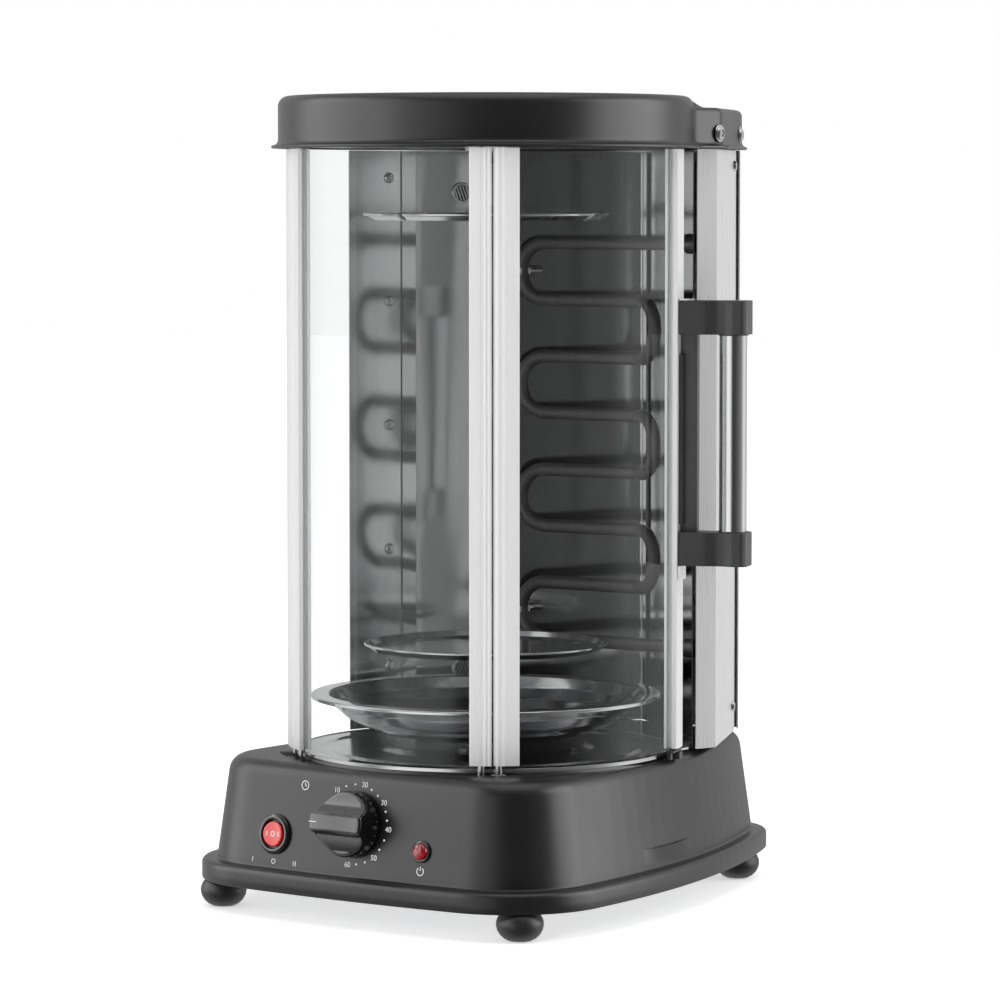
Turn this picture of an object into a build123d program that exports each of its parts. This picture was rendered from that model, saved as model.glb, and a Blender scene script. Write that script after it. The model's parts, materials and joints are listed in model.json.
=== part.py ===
from build123d import *
import os
from math import sin, cos, tan, radians, degrees, hypot, sqrt, asin

os.makedirs("parts", exist_ok=True)

# ---------------------------------------------------------------------------
# Vertical rotisserie oven. Millimetres, +Z up, the controls face -Y.
# The frame's origin is on the ground under the middle of the outline. The
# spindle axis stands at (AX, AY). Plan angles are taken about the spindle
# from the front, positive towards +X.
# ---------------------------------------------------------------------------

# ---- spindle axis in the part's frame ----
AX, AY = -8.05, -23.45

# ---- base ----
HALF_W = 134.0          # half width of the base flange
FRONT_Y = -141.5        # foremost point of the flange
FRONT_R = 925.0         # bow of the front
FLANK_Y = -60.0         # where the sides start closing in
FLANK_R = 580.0         # bow of the sides
REAR_Y = 192.0          # rear corners
CORNER_F, CORNER_R = 60.0, 38.0
Z_FLANGE, Z_LEDGE, Z_TOP = 16.0, 28.0, 88.0
LEDGE = 9.0             # flange stands proud of the body
DRAFT = 8.0             # draft of the body walls
TOP_R = 10.0            # rounded top edge
CHANNEL_D = 2.0         # recessed channel that the doors sweep over

# ---- cooking chamber ----
GLASS_R = 114.0         # outer radius of the curved glass
GLASS_T = 3.0
POST_R0, POST_R1 = 109.4, 117.0
Z_POST0, Z_POST1 = 92.6, 439.2
JOINT_A = 37.85         # plan angle of the joint in each double post
PIN_A = 39.55           # plan angle of the door's hinge pin
PIN_R = 113.9
DOOR_END_A = 114.4      # plan angle where the door ends
CLEAR = 0.35            # gap between moving parts

# ---- cap ----
Z_LIP, Z_CAPTOP, Z_SHELF = 439.7, 470.0, 463.5
CAP_R, LIP_R = 121.0, 125.0

# ---- turning stack ----
TRAY_R, TRAY_Z, TRAY_H = 102.7, 96.0, 25.5
DISC_R = 71.6
Z_DISC_LO, Z_DISC_HI = 147.0, 398.0

# ---- heating element ----
ROD_D, ROD_Y, ROD_X, PITCH = 8.0, 105.7, 50.0, 34.4
ROD_TOP = 383.8

# ---- handle ----
HANDLE_A = 111.0
Z_BR_LO0, Z_BR_LO1, Z_BR_HI0, Z_BR_HI1 = 199.0, 218.6, 332.6, 352.2
BAR_R, BAR_D = 147.5, 16.0


def at(z):
    """Horizontal plane at height z with its origin on the spindle axis."""
    return Plane(origin=(AX, AY, z))


SIDE = Plane(origin=(AX, AY, 0), x_dir=(1, 0, 0), z_dir=(0, -1, 0))   # x is radius, y is height
SPIN = Axis((AX, AY, 0), (0, 0, 1))


def pol(r, a):
    """Plan point at radius r and angle a from the front."""
    return (r * sin(radians(a)), -r * cos(radians(a)))


def radial(r, a, z):
    """Plane whose normal points outwards at plan angle a, placed at radius r and height z."""
    x, y = pol(r, a)
    return Plane(origin=(AX + x, AY + y, z), x_dir=(cos(radians(a)), sin(radians(a)), 0),
                 z_dir=(sin(radians(a)), -cos(radians(a)), 0))


def sector(r0, r1, a0, a1):
    """Ring sector in plan."""
    am = (a0 + a1) / 2
    with BuildSketch() as s:
        with BuildLine():
            ThreePointArc(pol(r1, a0), pol(r1, am), pol(r1, a1))
            Line(pol(r1, a1), pol(r0, a1))
            ThreePointArc(pol(r0, a1), pol(r0, am), pol(r0, a0))
            Line(pol(r0, a0), pol(r1, a0))
        make_face()
    return s.sketch


def strip(points, t):
    """Folded sheet in plan: the line through points, thickened by t to its left."""
    dirs = []
    for (x0, y0), (x1, y1) in zip(points, points[1:]):
        n = hypot(x1 - x0, y1 - y0)
        dirs.append(((x1 - x0) / n, (y1 - y0) / n))
    outer = []
    for i, (x, y) in enumerate(points):
        d0, d1 = dirs[max(i - 1, 0)], dirs[min(i, len(dirs) - 1)]
        n0, n1 = (-d0[1], d0[0]), (-d1[1], d1[0])
        k = t / (1 + n0[0] * n1[0] + n0[1] * n1[1])
        outer.append((x + (n0[0] + n1[0]) * k, y + (n0[1] + n1[1]) * k))
    with BuildSketch() as s:
        with BuildLine():
            Polyline(*points, *reversed(outer), close=True)
        make_face()
    return s.sketch


def outline(inset=0.0):
    """Plan of the base: bowed front, rounded corners, flanks closing to the rear."""
    ys = FRONT_Y + HALF_W ** 2 / (2 * FRONT_R)
    drop = lambda d: FLANK_R - sqrt(FLANK_R ** 2 - d ** 2)
    ym = (FLANK_Y + REAR_Y) / 2
    xm, xb = HALF_W - drop(ym - FLANK_Y), HALF_W - drop(REAR_Y - FLANK_Y)
    with BuildSketch() as s:
        with BuildLine():
            ThreePointArc((-HALF_W, ys), (0, FRONT_Y), (HALF_W, ys))
            Line((HALF_W, ys), (HALF_W, FLANK_Y))
            ThreePointArc((HALF_W, FLANK_Y), (xm, ym), (xb, REAR_Y))
            ThreePointArc((xb, REAR_Y), (0, REAR_Y + 4), (-xb, REAR_Y))
            ThreePointArc((-xb, REAR_Y), (-xm, ym), (-HALF_W, FLANK_Y))
            Line((-HALF_W, FLANK_Y), (-HALF_W, ys))
        make_face()
        fillet(s.vertices().group_by(Axis.Y)[0], CORNER_F)
        fillet(s.vertices().group_by(Axis.Y)[-1], CORNER_R)
        if inset:
            offset(amount=-inset)
    return s.sketch


def front_y(x, z):
    """Y of the base's front wall, about the spindle."""
    r = FRONT_R - LEDGE - (z - Z_LEDGE) * tan(radians(DRAFT))
    return FRONT_Y + FRONT_R - sqrt(r * r - x * x)


def panel(x, z, out=0.0):
    """Plane on the sloping front wall, facing outwards, its y axis running up the wall."""
    b = asin(x / (FRONT_R - LEDGE))
    t = radians(DRAFT)
    n = (sin(b) * cos(t), -cos(b) * cos(t), sin(t))
    return Plane(origin=(AX + x + n[0] * out, AY + front_y(x, z) + n[1] * out, z + n[2] * out),
                 x_dir=(cos(b), sin(b), 0), z_dir=n)


def ship(builder, name):
    builder.part.label = name
    export_step(builder.part, "parts/" + name + ".step")


KNOB = (1.5, 58.0)      # timer, across and up
SWITCH = (-56.0, 47.7)
LAMP = (49.0, 46.5)
FEET = [(-106, -114), (106, -114), (-79, 150), (79, 150)]
POST_STUDS = [pol(113.2, -41.8), pol(113.2, -34.6), pol(113.2, 34.6)]
HINGE = pol(PIN_R, PIN_A)
STUD_D = 4.0

# ===========================================================================
# Base
# ===========================================================================
with BuildPart() as cavity:
    with BuildSketch(at(Z_FLANGE)):
        add(outline(2.6))
    extrude(amount=9.5)
    with BuildSketch(at(Z_FLANGE + 9.4)):
        add(outline(LEDGE + 2.8))
    extrude(amount=Z_TOP - 4.2 - Z_FLANGE - 9.4, taper=DRAFT)
    fillet(cavity.faces().sort_by(Axis.Z)[-1].edges(), 7.0)

with BuildPart() as base_shell:
    with BuildSketch(at(Z_FLANGE)):
        add(outline())
    extrude(amount=Z_LEDGE - Z_FLANGE)
    fillet(base_shell.faces().sort_by(Axis.Z)[-1].edges(), 3.2)
    with BuildSketch(at(Z_LEDGE)):
        add(outline(LEDGE))
    extrude(amount=Z_TOP - Z_LEDGE, taper=DRAFT)
    fillet(base_shell.faces().sort_by(Axis.Z)[-1].edges(), TOP_R)
    add(cavity.part, mode=Mode.SUBTRACT)
    # channel under the doors
    with BuildSketch(at(Z_TOP - CHANNEL_D)):
        add(sector(109.6, 121.5, -47, 113))
    extrude(amount=CHANNEL_D + 1, mode=Mode.SUBTRACT)
    # drive opening, post studs, hinge bush, wiring and screw holes in the top
    with BuildSketch(at(Z_TOP - 8)):
        Circle(14)
        with Locations(*POST_STUDS):
            Circle(STUD_D / 2)
        with Locations(HINGE):
            Circle(3.5)
        with Locations((92, 112)):
            Circle(5)
        with PolarLocations(30, 3, 30):
            Circle(1.5)
    extrude(amount=12, mode=Mode.SUBTRACT)
    # openings for the controls
    with BuildSketch(panel(*KNOB, out=-14)):
        Circle(5.5)
    extrude(amount=20, mode=Mode.SUBTRACT)
    with BuildSketch(panel(*SWITCH, out=-14)):
        Circle(10.0)
    extrude(amount=20, mode=Mode.SUBTRACT)
    with BuildSketch(panel(*LAMP, out=-14)):
        Circle(4.6)
    extrude(amount=20, mode=Mode.SUBTRACT)
    # cable opening in the rear wall
    with BuildSketch(Plane(origin=(AX + 52, AY + 150, 42), x_dir=(-1, 0, 0), z_dir=(0, 1, 0))):
        Circle(7.0)
    extrude(amount=60, mode=Mode.SUBTRACT)
ship(base_shell, "base_shell")

PLATE_SCREWS = [(-120, -60), (120, -60), (-40, -131), (40, -131), (-112, 60), (112, 60), (-30, 184), (30, 184)]
with BuildPart() as base_plate:
    with BuildSketch(at(Z_FLANGE + 0.6)):
        add(outline(3.0))
        with Locations(*FEET):
            Circle(2.6, mode=Mode.SUBTRACT)
        # ventilation slots
        with Locations((0, 20)):
            with GridLocations(12, 60, 9, 2):
                SlotOverall(34, 4, rotation=90, mode=Mode.SUBTRACT)
        with Locations(*PLATE_SCREWS):
            Circle(1.7, mode=Mode.SUBTRACT)
    extrude(amount=1.2)
ship(base_plate, "base_plate")

with BuildPart() as feet:
    for fx, fy in FEET:
        with BuildSketch(Plane(origin=(AX + fx, AY + fy, 0), x_dir=(1, 0, 0), z_dir=(0, -1, 0))):
            with BuildLine():
                Polyline((0, 16.6), (0, 0), (5.5, 0))
                Spline((5.5, 0), (11.2, 3.4), (13.4, 9.0), (12.4, 13.6), tangents=((1, 0.12), (-0.35, 1)))
                Polyline((12.4, 13.6), (11.0, 15.8), (7.4, 15.8), (7.4, 16.6), (0, 16.6))
            make_face()
        revolve(axis=Axis((AX + fx, AY + fy, 0), (0, 0, 1)))
    # push-in stems with a barb above the base plate
    with BuildSketch(at(Z_FLANGE + 0.5)):
        with Locations(*FEET):
            Circle(2.55)
    extrude(amount=1.4)
    with BuildSketch(at(Z_FLANGE + 1.85)):
        with Locations(*FEET):
            Circle(3.6)
    extrude(amount=4.0, taper=20)
ship(feet, "feet")

with BuildPart() as base_screws:
    with BuildSketch(at(Z_FLANGE + 0.6)):
        with Locations(*PLATE_SCREWS):
            Circle(3.4)
    extrude(amount=-1.6)
    fillet(base_screws.faces().sort_by(Axis.Z)[0:len(PLATE_SCREWS)].edges(), 1.0)
    with BuildSketch(at(Z_FLANGE + 0.6)):
        with Locations(*PLATE_SCREWS):
            Circle(1.65)
    extrude(amount=8)
ship(base_screws, "base_screws")

# ===========================================================================
# Drive in the base
# ===========================================================================
with BuildPart() as gear_motor:
    with BuildSketch(at(58)):
        Circle(25)
    extrude(amount=14)
    fillet(gear_motor.faces().sort_by(Axis.Z)[0].edges(), 2)
    with BuildSketch(at(72)):
        Circle(23)
    extrude(amount=6)
    with BuildSketch(at(66)):
        with Locations((0, 27)):
            Rectangle(16, 12)
    extrude(amount=6)
    # output recess that the shaft turns in
    with BuildSketch(at(66)):
        Circle(3.55)
    extrude(amount=20, mode=Mode.SUBTRACT)
ship(gear_motor, "gear_motor")

with BuildPart() as motor_bracket:
    with BuildSketch(at(78)):
        SlotCenterToCenter(68, 20)
        Circle(18)
        Circle(7.5, mode=Mode.SUBTRACT)
        with Locations((-34, 0), (34, 0)):
            Circle(1.7, mode=Mode.SUBTRACT)
    extrude(amount=1.5)
    with BuildSketch(at(79.5)):
        with Locations((-34, 0), (34, 0)):
            Circle(4.5)
            Circle(1.7, mode=Mode.SUBTRACT)
    extrude(amount=Z_TOP - 4.2 - 79.5)
ship(motor_bracket, "motor_bracket")

with BuildPart() as shaft_bush:
    with BuildSketch(SIDE):
        with BuildLine():
            Polyline((4.06, 79.5), (7.5, 79.5), (7.5, 81), (14, 81), (14, 90.4), (16, 90.4), (16, 91.8), (4.06, 91.8), close=True)
        make_face()
    revolve(axis=SPIN)
    # flange's holes onto the pan are blind; the bush snaps under the pan
ship(shaft_bush, "shaft_bush")

with BuildPart() as drive_shaft:
    with BuildSketch(at(66.5)):
        Circle(3.5)
    extrude(amount=12)
    with BuildSketch(at(78.5)):
        Circle(4.0)
    extrude(amount=15.2)
    with BuildSketch(at(93.7)):
        Rectangle(5.6, 5.6)
    extrude(amount=8.3)
ship(drive_shaft, "drive_shaft")

with BuildPart() as tray_hub:
    with BuildSketch(SIDE):
        with BuildLine():
            Polyline((0, 93.7), (17, 93.7), (17, 95.2), (9, 96), (9, 101), (0, 101), close=True)
        make_face()
    revolve(axis=SPIN)
    with BuildSketch(at(93)):
        Rectangle(5.7, 5.7)
    extrude(amount=10, mode=Mode.SUBTRACT)
ship(tray_hub, "tray_hub")

# ===========================================================================
# Floor of the chamber
# ===========================================================================
with BuildPart() as floor_pan:
    with BuildSketch(SIDE):
        with BuildLine():
            Polyline((16.2, 91.6), (58, 91.6), (64.5, 89.4), (89, 89.4), (91.5, 88.4), (95, 88.4), (97.5, 89.4),
                     (108.6, 89.4), (109.2, 90.4), (109.2, 88.0), (98, 88.0), (97.9, 88.0), (58, 88.0), (57, 90.6),
                     (16.2, 90.6), close=True)
        make_face()
    revolve(axis=SPIN)
    # straight-sided part that reaches into the reflector
    with BuildSketch(at(88.0)):
        with BuildLine():
            Polyline((-98.6, 58), (-98.6, 66.6), (-75.4, 107.2), (-0.2, 163.6), (0.2, 163.6), (75.4, 107.2), (98.6, 66.6),
                     (98.6, 58), (60, 74), (0, 95), (-60, 74), close=True)
        make_face()
        Circle(92, mode=Mode.SUBTRACT)
    extrude(amount=1.4)
    with BuildSketch(at(87)):
        Circle(57.2)
    extrude(amount=1.2, mode=Mode.SUBTRACT)
ship(floor_pan, "floor_pan")

# ===========================================================================
# Turning stack: drip tray, spindle and the two notched discs
# ===========================================================================
with BuildPart() as drip_tray:
    with BuildSketch(SIDE):
        with BuildLine():
            Line((9.05, TRAY_Z), (34, TRAY_Z))
            Spline((34, TRAY_Z), (62, TRAY_Z + 3.2), (82, TRAY_Z + 12), (93.4, TRAY_Z + 24.6),
                   tangents=((1, 0), (0.36, 1)))
            Line((93.4, TRAY_Z + 24.6), (TRAY_R - 1.2, TRAY_Z + 24.6))
            Line((TRAY_R - 1.2, TRAY_Z + 24.6), (TRAY_R - 1.2, TRAY_Z + 23.6))
            Line((TRAY_R - 1.2, TRAY_Z + 23.6), (TRAY_R, TRAY_Z + 23.6))
            Line((TRAY_R, TRAY_Z + 23.6), (TRAY_R, TRAY_Z + 25.5))
            Line((TRAY_R, TRAY_Z + 25.5), (92.8, TRAY_Z + 25.5))
            Spline((92.8, TRAY_Z + 25.5), (81.3, TRAY_Z + 12.9), (61.7, TRAY_Z + 4.2), (34, TRAY_Z + 1.0),
                   tangents=((-0.36, -1), (-1, 0)))
            Line((34, TRAY_Z + 1.0), (9.05, TRAY_Z + 1.0))
            Line((9.05, TRAY_Z + 1.0), (9.05, TRAY_Z))
        make_face()
    revolve(axis=SPIN)
ship(drip_tray, "drip_tray")

with BuildPart() as spindle:
    # square socket over the hub, round column, turned-down top journal
    with BuildSketch(at(101)):
        Circle(9)
    extrude(amount=12)
    fillet(spindle.faces().sort_by(Axis.Z)[-1].edges(), 3)
    with BuildSketch(at(101)):
        Rectangle(5.7, 5.7)
    extrude(amount=1.2, mode=Mode.SUBTRACT)
    with BuildSketch(at(112)):
        Circle(4.5)
    extrude(amount=318)
    chamfer(spindle.faces().sort_by(Axis.Z)[-1].edges(), 1.0)
    with BuildSketch(at(429)):
        Circle(3.0)
    extrude(amount=14.5)
    chamfer(spindle.faces().sort_by(Axis.Z)[-1].edges(), 0.8)
ship(spindle, "spindle")

with BuildPart() as lower_disc:
    with BuildSketch(SIDE):
        with BuildLine():
            Polyline((4.55, 147.0), (67.6, 147.0), (70.6, 149.6), (71.6, 149.8), (71.6, 151.2), (69.4, 151.2),
                     (66.9, 147.8), (4.55, 147.8), close=True)
        make_face()
    revolve(axis=SPIN)
    with BuildSketch(at(140)):
        with PolarLocations(60.5, 7, 12):
            Circle(2.4)
        with PolarLocations(60.5, 7, 37.7):
            Circle(1.6)
    extrude(amount=20, mode=Mode.SUBTRACT)
ship(lower_disc, "lower_disc")

with BuildPart() as upper_disc:
    with BuildSketch(SIDE):
        with BuildLine():
            Polyline((4.55, 398.0), (67.0, 398.0), (71.0, 400.6), (71.6, 400.8), (71.6, 402.2), (69.9, 402.2),
                     (66.4, 398.8), (4.55, 398.8), close=True)
        make_face()
    revolve(axis=SPIN)
    with BuildSketch(at(390)):
        with PolarLocations(69.5, 7, -90 + 36 - 44):
            SlotOverall(20, 5.0)
    extrude(amount=20, mode=Mode.SUBTRACT)
ship(upper_disc, "upper_disc")

with BuildPart() as disc_collars:
    # a hub above each disc, clamped to the spindle
    for zc in (147.8, 398.8):
        with BuildSketch(at(zc)):
            Circle(10)
            Circle(4.55, mode=Mode.SUBTRACT)
        extrude(amount=9)
ship(disc_collars, "disc_collars")

ship(disc_collars, "disc_collars")

# ===========================================================================
# Rear half of the chamber: reflector, wing, seam strip, covers
# ===========================================================================
RZ0, RZ1 = 89.4, 439.4
ZC0 = Z_TOP
LEFT_REF = [(-103.1, 55.4), (-100.4, 65.6), (-76.0, 108.0), (-0.15, 165.0)]
RIGHT_REF = [(0.15, 165.0), (76.0, 108.0), (100.0, 67.5)]


def facet_plane(p, q, s, z, side=1):
    """Plane on the sheet from p to q at fraction s, its normal across the sheet."""
    dx, dy = q[0] - p[0], q[1] - p[1]
    n = hypot(dx, dy)
    return Plane(origin=(AX + p[0] + dx * s, AY + p[1] + dy * s, z), x_dir=(dx / n, dy / n, 0),
                 z_dir=(-side * dy / n, side * dx / n, 0))


VENTS = [(0.37, 414.0), (0.37, 122.0)]
with BuildPart() as reflector_left:
    with BuildSketch(at(RZ0)):
        add(strip(LEFT_REF, 0.8))
    extrude(amount=RZ1 - RZ0)
    for s, z in VENTS:
        with BuildSketch(facet_plane(LEFT_REF[1], LEFT_REF[2], s + 0.25, z).offset(-3)):
            Circle(5.2)
        extrude(amount=6, mode=Mode.SUBTRACT)
    # holes for the element's clips
    for k in (0.5, 6.5):
        with BuildSketch(facet_plane(LEFT_REF[2], LEFT_REF[3], 0.30, ROD_TOP - PITCH * k).offset(-3)):
            Circle(1.6)
        extrude(amount=6, mode=Mode.SUBTRACT)
ship(reflector_left, "reflector_left")

Z_A, Z_H = ROD_TOP, ROD_TOP - 7 * PITCH
with BuildPart() as reflector_right:
    with BuildSketch(at(RZ0)):
        add(strip(RIGHT_REF, 0.8))
    extrude(amount=RZ1 - RZ0)
    # the element's two legs pass through
    for z in (Z_A, Z_H):
        with BuildSketch(Plane(origin=(AX + 60, AY + ROD_Y, z), x_dir=(0, 1, 0), z_dir=(1, 0, 0))):
            Circle(6.0)
        extrude(amount=30, mode=Mode.SUBTRACT)
ship(reflector_right, "reflector_right")

with BuildPart() as seam_strip:
    # folded strip over the joint of the two reflector sheets
    with BuildSketch(at(RZ0 + 1)):
        add(strip([(6.6, 159.1), (0, 164.05), (-6.6, 159.1)], 0.8))
    extrude(amount=RZ1 - RZ0 - 2)
ship(seam_strip, "seam_strip")

with BuildPart() as vent_plugs:
    # round louvred inserts in the left reflector
    for s, z in VENTS:
        pl = facet_plane(LEFT_REF[1], LEFT_REF[2], s + 0.25, z)
        with BuildSketch(pl.offset(-0.9)):
            Circle(6.4)
            with GridLocations(2.3, 1, 4, 1):
                Rectangle(1.0, 8.4, mode=Mode.SUBTRACT)
        extrude(amount=0.9)
        with BuildSketch(pl):
            Circle(5.15)
            Circle(4.6, mode=Mode.SUBTRACT)
        extrude(amount=2.4)
ship(vent_plugs, "vent_inserts")

WING = [(-114.9, 17.5), (-102.0, 66.0)]      # outer face of the left side sheet
WING_SCREW_Z = [126.7, 198.0, 273.5, 348.5, 423.0]
with BuildPart() as left_wing:
    # side sheet; the reflector's front edge lies on it
    with BuildSketch(at(RZ0)):
        add(strip(WING, -0.8))
    extrude(amount=RZ1 - RZ0)
    for z in WING_SCREW_Z:
        with BuildSketch(facet_plane(WING[0], WING[1], 0.60, z).offset(-4)):
            Circle(1.6)
        extrude(amount=8, mode=Mode.SUBTRACT)
ship(left_wing, "left_wing")

with BuildPart() as wing_screws:
    for z in WING_SCREW_Z:
        # heads inside the chamber, shanks outwards
        pl = facet_plane(WING[0], WING[1], 0.60, z, side=-1)
        with BuildSketch(pl.offset(0.8)):
            Circle(3.3)
        extrude(amount=1.8, taper=18)
        with BuildSketch(pl.offset(-3.0)):
            Circle(1.5)
        extrude(amount=3.8)
ship(wing_screws, "wing_screws")

COVER_R = [(99.9, 71.4), (105.0, 84.0), (70.4, 157.6), (61.0, 173.0)]
COVER_L = [(-x, y) for x, y in reversed(COVER_R)]
with BuildPart() as side_cover_right:
    with BuildSketch(at(ZC0)):
        add(strip(COVER_R, -0.8))
    extrude(amount=RZ1 - ZC0)
    for z in (104.0, 430.0):
        with BuildSketch(facet_plane(COVER_R[1], COVER_R[2], 0.9, z).offset(-4)):
            Circle(1.6)
        extrude(amount=8, mode=Mode.SUBTRACT)
ship(side_cover_right, "side_cover_right")

with BuildPart() as side_cover_left:
    with BuildSketch(at(ZC0)):
        add(strip(COVER_L, -0.8))
    extrude(amount=RZ1 - ZC0)
    for z in (104.0, 430.0):
        with BuildSketch(facet_plane(COVER_L[1], COVER_L[2], 0.1, z).offset(-4)):
            Circle(1.6)
        extrude(amount=8, mode=Mode.SUBTRACT)
ship(side_cover_left, "side_cover_left")

with BuildPart() as back_cover:
    with BuildSketch(at(ZC0)):
        add(strip([(-66.6, 168.4), (-61.9, 175.2), (61.9, 175.2), (66.6, 168.4)], 0.8))
        # clear of the side covers' turned edges
    extrude(amount=RZ1 - ZC0)
    with BuildSketch(Plane(origin=(AX, AY + 170, 264), x_dir=(-1, 0, 0), z_dir=(0, 1, 0))):
        with GridLocations(44, 11, 2, 20):
            SlotOverall(36, 3.6)
    extrude(amount=10, mode=Mode.SUBTRACT)
    with BuildSketch(Plane(origin=(AX, AY + 170, 264), x_dir=(-1, 0, 0), z_dir=(0, 1, 0))):
        with GridLocations(112, 320, 2, 2):
            Circle(1.6)
    extrude(amount=10, mode=Mode.SUBTRACT)
ship(back_cover, "back_cover")

with BuildPart() as cover_screws:
    for pl in [facet_plane(COVER_R[1], COVER_R[2], 0.9, z, side=-1) for z in (104.0, 430.0)] + \
              [facet_plane(COVER_L[1], COVER_L[2], 0.1, z, side=-1) for z in (104.0, 430.0)]:
        out = pl.offset(0.0)
        with BuildSketch(out.offset(0.8)):
            Circle(3.2)
        extrude(amount=1.6, taper=18)
        with BuildSketch(out.offset(-4)):
            Circle(1.5)
        extrude(amount=4.8)
    for x in (-56, 56):
        for z in (104.0, 424.0):
            with BuildSketch(Plane(origin=(AX + x, AY + 176.0, z), x_dir=(-1, 0, 0), z_dir=(0, 1, 0))):
                Circle(3.2)
            extrude(amount=1.6, taper=18)
            with BuildSketch(Plane(origin=(AX + x, AY + 171.0, z), x_dir=(-1, 0, 0), z_dir=(0, 1, 0))):
                Circle(1.5)
            extrude(amount=5)
ship(cover_screws, "cover_screws")

# ===========================================================================
# Heating element
# ===========================================================================
R_BEND = PITCH / 2 - 0.08
XS = 36.0                                    # the right-hand bends lean forwards from here
TIP = (XS + 19.0, ROD_Y - 10.9)
with BuildPart() as heating_element:
    pts, radii = [(AX + 90.0, AY + ROD_Y, Z_A)], []
    for k in range(4):
        z0, z1 = ROD_TOP - PITCH * 2 * k, ROD_TOP - PITCH * (2 * k + 1)
        pts += [(AX - ROD_X, AY + ROD_Y, z0), (AX - ROD_X, AY + ROD_Y, z1)]
        radii += [R_BEND, R_BEND]
        if k < 3:
            z2 = ROD_TOP - PITCH * (2 * k + 2)
            pts += [(AX + XS, AY + ROD_Y, z1), (AX + TIP[0], AY + TIP[1], z1),
                    (AX + TIP[0], AY + TIP[1], z2), (AX + XS, AY + ROD_Y, z2)]
            radii += [10.0, R_BEND, R_BEND, 10.0]
    pts.append((AX + 90.0, AY + ROD_Y, Z_H))
    with BuildLine() as run:
        FilletPolyline(*pts, radius=radii)
    with BuildSketch(Plane(origin=pts[0], x_dir=(0, 1, 0), z_dir=(-1, 0, 0))):
        Circle(ROD_D / 2)
    sweep(path=run.line)
ship(heating_element, "heating_element")

with BuildPart() as element_bushings:
    # ceramic collars where the legs pass the reflector
    for z in (Z_A, Z_H):
        px = Plane(origin=(AX + 71.0, AY + ROD_Y, z), x_dir=(0, 1, 0), z_dir=(1, 0, 0))
        with BuildSketch(px):
            Circle(5.95)
            Circle(ROD_D / 2, mode=Mode.SUBTRACT)
        extrude(amount=14)
        with BuildSketch(px.offset(12.5)):
            Circle(8.2)
            Circle(ROD_D / 2, mode=Mode.SUBTRACT)
        extrude(amount=3.5)
ship(element_bushings, "element_bushings")

with BuildPart() as element_clips:
    # studs with a hooked strap round the left-hand bends
    for k in (0.5, 6.5):
        z = ROD_TOP - PITCH * k
        x0 = -ROD_X
        with BuildSketch(Plane(origin=(AX + x0, AY + ROD_Y + ROD_D / 2 + 0.6, z), x_dir=(1, 0, 0), z_dir=(0, 1, 0))):
            Circle(3.2)
        extrude(amount=14.0)
        with BuildSketch(Plane(origin=(AX + x0, AY + ROD_Y, z - 2), x_dir=(1, 0, 0), z_dir=(0, 0, 1))):
            Circle(ROD_D / 2 + 1.5)
            Circle(ROD_D / 2 + 0.35, mode=Mode.SUBTRACT)
            with Locations((ROD_D, -2)):
                Rectangle(ROD_D, ROD_D + 4, mode=Mode.SUBTRACT)
        extrude(amount=4)
ship(element_clips, "element_clips")

# ===========================================================================
# Glass and posts
# ===========================================================================


def post_half(a_joint, a_free, bead):
    """Plan of one half of a double post: a curved extrusion with a glazing slot in its free
    edge and two fine beads on its face beside the joint."""
    lo, hi = min(a_joint, a_free), max(a_joint, a_free)
    away = 1 if a_free > a_joint else -1
    with BuildSketch() as s:
        add(sector(POST_R0, POST_R1, lo, hi))
        with Locations(pol(POST_R1 - 0.1, a_joint + away * bead), pol(POST_R1 - 0.1, a_joint + away * (bead + 1.15))):
            Circle(0.8)
        with Locations(pol(POST_R1 + 0.1, a_joint + away * (bead + 2.1))):
            Circle(0.45, mode=Mode.SUBTRACT)
        slot = sector(GLASS_R - GLASS_T - 0.1, GLASS_R + 0.1, min(a_free, a_free - away * 1.9), max(a_free, a_free - away * 1.9))
        add(slot, mode=Mode.SUBTRACT)
    return s.sketch


FREE_IN, FREE_OUT = 31.35, 45.3
FIX_J = 37.55
with BuildPart() as post_left_inner:
    with BuildSketch(at(Z_POST0)):
        add(post_half(-JOINT_A, -FREE_IN, 0.55))
    extrude(amount=Z_POST1 - Z_POST0)
ship(post_left_inner, "post_left_inner")

with BuildPart() as post_left_outer:
    with BuildSketch(at(Z_POST0)):
        add(post_half(-JOINT_A - 0.25, -FREE_OUT, 0.55))
    extrude(amount=Z_POST1 - Z_POST0)
ship(post_left_outer, "post_left_outer")

with BuildPart() as post_right_inner:
    with BuildSketch(at(Z_POST0)):
        add(post_half(FIX_J, FREE_IN, 0.55))
    extrude(amount=Z_POST1 - Z_POST0)
ship(post_right_inner, "post_right_inner")

with BuildPart() as post_studs:
    # studs that stand the fixed posts on the base and hold them in the cap
    with BuildSketch(at(Z_TOP - 6)):
        with Locations(*POST_STUDS):
            Circle(STUD_D / 2)
    extrude(amount=Z_POST0 - Z_TOP + 6)
    with BuildSketch(at(Z_POST1)):
        with Locations(*POST_STUDS):
            Circle(STUD_D / 2)
    extrude(amount=6.3)
ship(post_studs, "post_studs")

ZG0, ZG1 = 92.0, 439.0
with BuildPart() as front_glass:
    with BuildSketch(at(ZG0)):
        add(sector(GLASS_R - GLASS_T, GLASS_R, -FREE_IN - 1.7, FREE_IN + 1.7))
    extrude(amount=ZG1 - ZG0)
ship(front_glass, "front_glass")

with BuildPart() as left_glass:
    with BuildSketch(at(ZG0)):
        add(sector(GLASS_R - GLASS_T, GLASS_R, -99.4, -FREE_OUT + 1.7))
    extrude(amount=ZG1 - ZG0)
ship(left_glass, "left_glass")

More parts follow.
